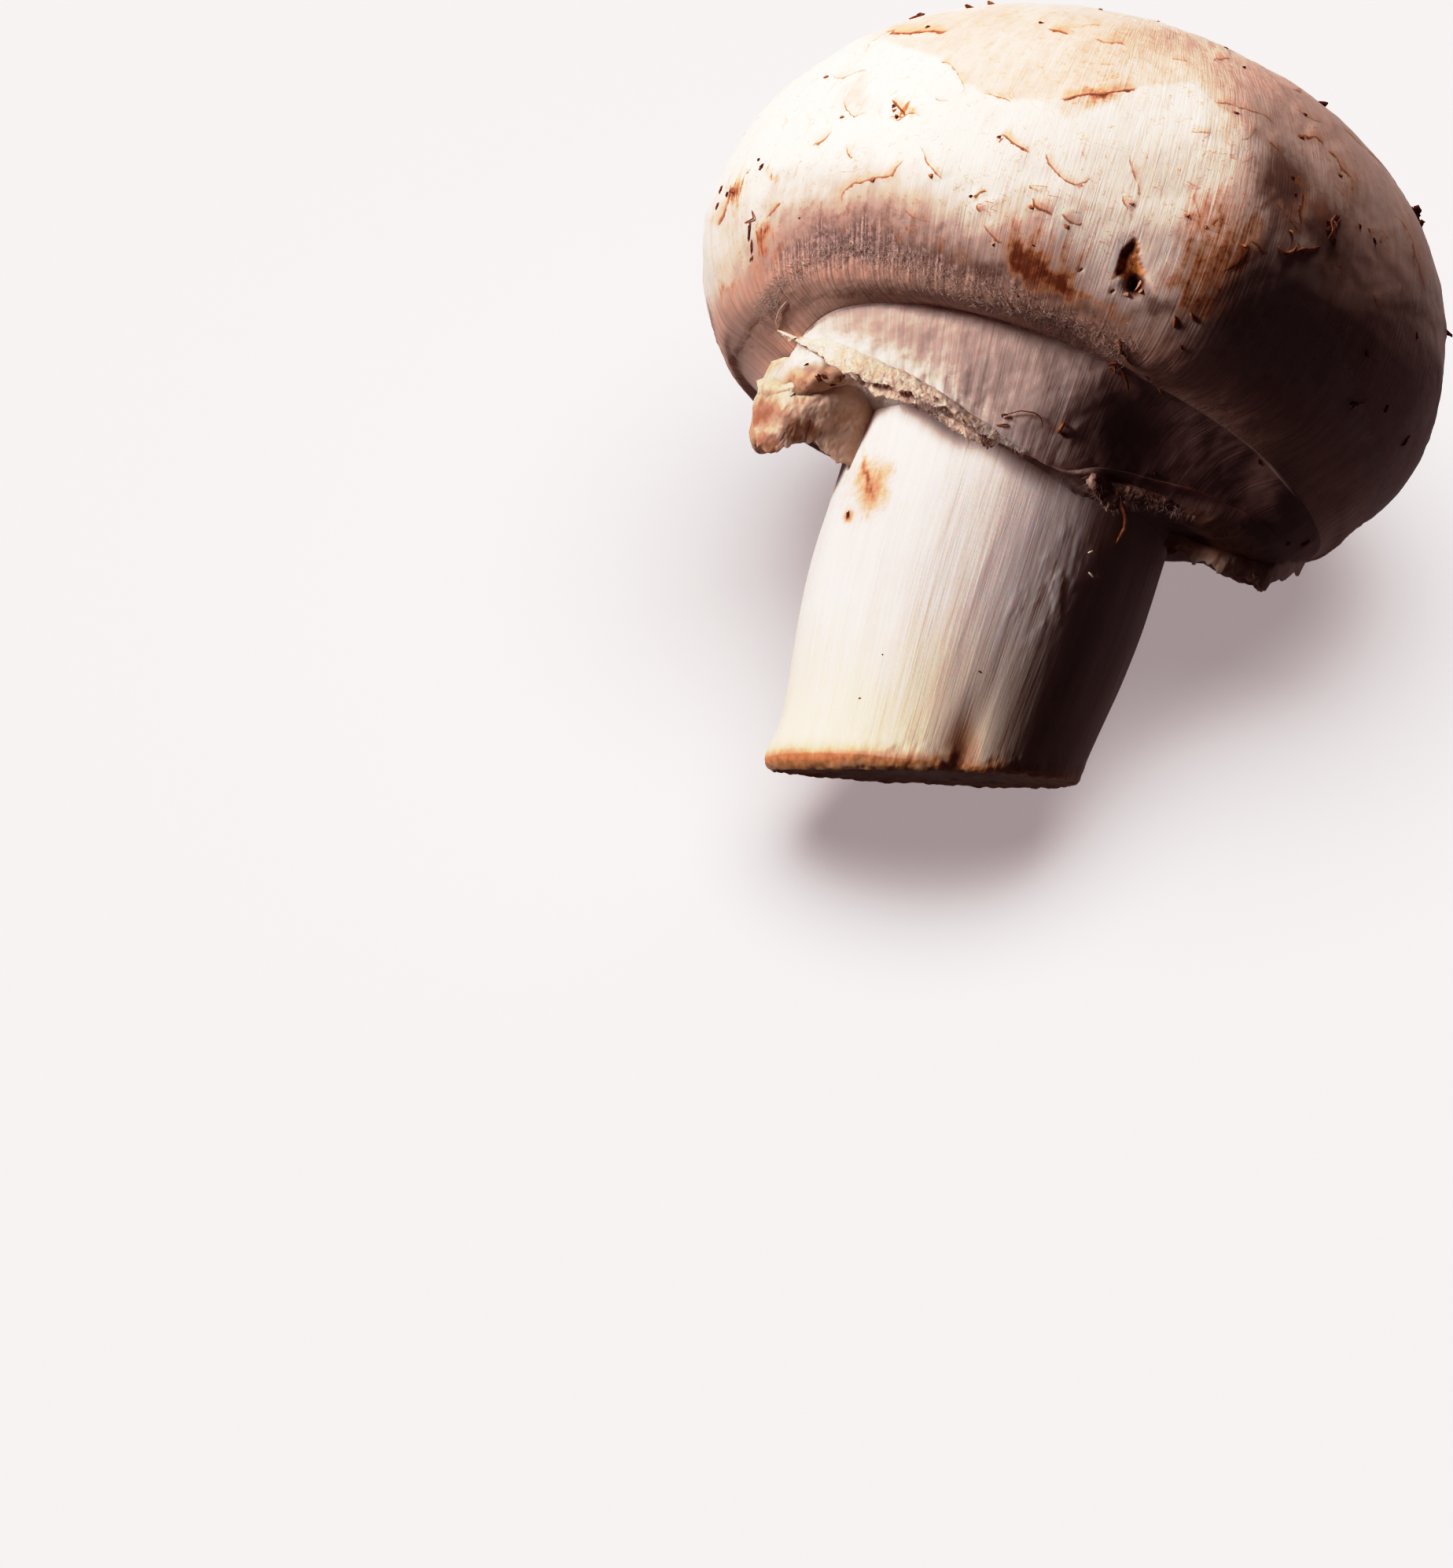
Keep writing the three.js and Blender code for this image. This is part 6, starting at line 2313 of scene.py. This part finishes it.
@dataclass
class Studio:
    """The floor, the lights and the camera."""

    floor_half: float = 4.0
    lens: float = 240.0
    sensor: float = 36.0
    aim_height: float = 0.02  # of the place that the lamps point at, in metres
    lamps: tuple = (
        Lamp("key_light", (-0.84, 0.17, 0.51), 1.1, 0.32, 18.5, (1.0, 0.985, 0.95)),
        Lamp("top_light", (-0.20, 0.98, 0.02), 1.1, 0.40, 11.8, (1.0, 0.93, 0.86)),
        Lamp("fill_light", (0.6, 0.1, 0.8), 1.2, 0.8, 0.03, (1.0, 0.45, 0.4)),
    )
    floor_light: float = 2.6
    floor_glow: float = 0.62
    sky: float = 0.011
    contrast: float = 0.88
    film: tuple = (
        ((0.0, 0.0), (0.04, 0.030), (0.15, 0.14), (0.35, 0.385), (0.6, 0.80), (0.8, 0.945), (1.0, 1.0)),
        ((0.0, 0.0), (0.04, 0.018), (0.15, 0.11), (0.35, 0.33), (0.6, 0.77), (0.8, 0.93), (1.0, 1.0)),
        ((0.0, 0.0), (0.04, 0.019), (0.15, 0.115), (0.35, 0.345), (0.6, 0.78), (0.8, 0.93), (1.0, 1.0)),
    )  # the shown red, green and blue against the light's, which is white at film_white
    film_white: float = 1.6

    def floor(self) -> Object:
        """Lays the pale floor.

        Returns:
            Its object.
        """
        s = Shader("pale_floor")
        s.set(Base_Color=(0.80, 0.797, 0.79), Roughness=0.9, Specular_IOR_Level=0.1)
        s.set(Emission_Color=(0.9, 0.88, 0.87, 1), Emission_Strength=self.floor_glow)
        bm = bmesh.new()
        bmesh.ops.create_grid(bm, x_segments=2, y_segments=2, size=self.floor_half)
        mesh = bpy.data.meshes.new("floor")
        bm.to_mesh(mesh)
        bm.free()
        mesh.materials.append(s.material)
        floor = put("floor", mesh)
        floor.visible_diffuse = False
        return floor

    def softbox(self, lamp: Lamp) -> Object:
        """Places a round soft light that points at the mushroom.

        Args:
            lamp: Its place and strength.

        Returns:
            Its object.
        """
        data = bpy.data.lights.new(lamp.name, "AREA")
        data.shape = "DISK"
        data.size, data.energy, data.color = lamp.size, lamp.power, lamp.colour
        made = put(lamp.name, data)
        across, along, near = lamp.source
        towards = (VIEW.across() * across + VIEW.along() * along + VIEW.back() * near).normalized()
        made.location = towards * lamp.far + Vector((0, 0, self.aim_height))
        made.rotation_euler = towards.to_track_quat("Z", "Y").to_euler()
        return made

    def light(self, floor: Object) -> None:
        """Places the soft lights, one for the floor alone, and a dim sky.

        Args:
            floor: The floor, which the soft lights leave out.
        """
        others = bpy.data.collections.new("not_the_floor")
        others.objects.link(floor)
        others.collection_objects[0].light_linking.link_state = "EXCLUDE"
        for lamp in self.lamps:
            self.softbox(lamp).light_linking.receiver_collection = others
        data = bpy.data.lights.new("floor_light", "SUN")
        data.energy, data.angle = self.floor_light, math.radians(60)
        above = put("floor_light", data)
        lit = bpy.data.collections.new("lit_floor")
        lit.objects.link(floor)
        above.light_linking.receiver_collection = lit
        world = bpy.data.worlds.new("sky")
        world.use_nodes = True
        back = world.node_tree.nodes["Background"]
        back.inputs[0].default_value = (1.0, 0.50, 0.48, 1)
        back.inputs[1].default_value = self.sky
        bpy.context.scene.world = world

    def develop(self) -> None:
        """Sets how light is shown: like slide film, with soft whites and warm mid-tones."""
        shown = bpy.context.scene.view_settings
        shown.view_transform = "Standard"
        shown.gamma = self.contrast
        shown.use_curve_mapping = True
        shown.curve_mapping.white_level = (self.film_white,) * 3
        for curve, points in zip(shown.curve_mapping.curves, self.film):
            curve.points[0].location, curve.points[-1].location = points[0], points[-1]
            for point in points[1:-1]:
                curve.points.new(*point)
        shown.curve_mapping.update()

    def camera(self) -> Object:
        """Places the camera, which looks down on the lying mushroom.

        Returns:
            Its object.
        """
        data = bpy.data.cameras.new("camera")
        data.lens, data.sensor_width = self.lens, self.sensor
        camera = put("camera", data)
        aim = Vector(LAY.ring) + VIEW.right() * VIEW.aim[0] + VIEW.up() * VIEW.aim[1]
        camera.location = (aim + VIEW.back() * VIEW.far) * MM
        axes = Matrix((VIEW.right(), VIEW.up(), VIEW.back())).transposed()
        camera.rotation_euler = axes.to_euler()
        data.clip_start, data.clip_end = 0.01, 20
        bpy.context.scene.camera = camera
        return camera


# --- Putting it together ---

def main() -> None:
    """Builds the studio and the mushroom, piece by piece."""
    logging.basicConfig(level=logging.INFO, format="%(message)s")
    studio = Studio()
    studio.camera()
    studio.light(studio.floor())
    studio.develop()

    cap, veil, stalk = Cap().build(), Veil().build(), Stalk().build()
    finish_piece(cap.mesh, CapSkin().shader(), stands_for_node=True)
    finish_piece(veil.mesh, VeilTissue().shader(), stands_for_node=True)
    finish_piece(stalk.mesh, StalkSkin().shader(), stands_for_node=True)

    ground = Ground([cap, veil, stalk])
    finishes = {Tissue.TORN: TORN_SKIN, Tissue.LOBE: LOBE_SKIN, Tissue.DIM: SHADED_TISSUE}
    tissues = {tissue: finish.shader() for tissue, finish in finishes.items()}
    torn = tissues[Tissue.TORN]
    for sheet in TORN_SHEETS:
        finish_piece(sheet.build(ground), tissues[sheet.tissue])
    finish_piece(Fringe().build(ground), torn)
    finish_piece(Fringe().rim_fuzz(ground), torn)
    finish_piece(SkinFlakes("skin_flakes", SKIN_FLAKES, 60).build(ground), FLAKE_SKIN.shader())
    finish_piece(SkinFlakes("curled_lips", CURLED_LIPS, thick=0.12).build(ground), CURLED_SKIN.shader())
    finish_piece(Soil().build(ground), DARK_SOIL.shader())
    finish_piece(Fibres("dry_fibres", DRY_FIBRES).build(ground), DRY_FIBRE.shader())
    finish_piece(Fibres("pale_threads", PALE_FIBRES).build(ground), torn)


if __name__ == "__main__":
    main()
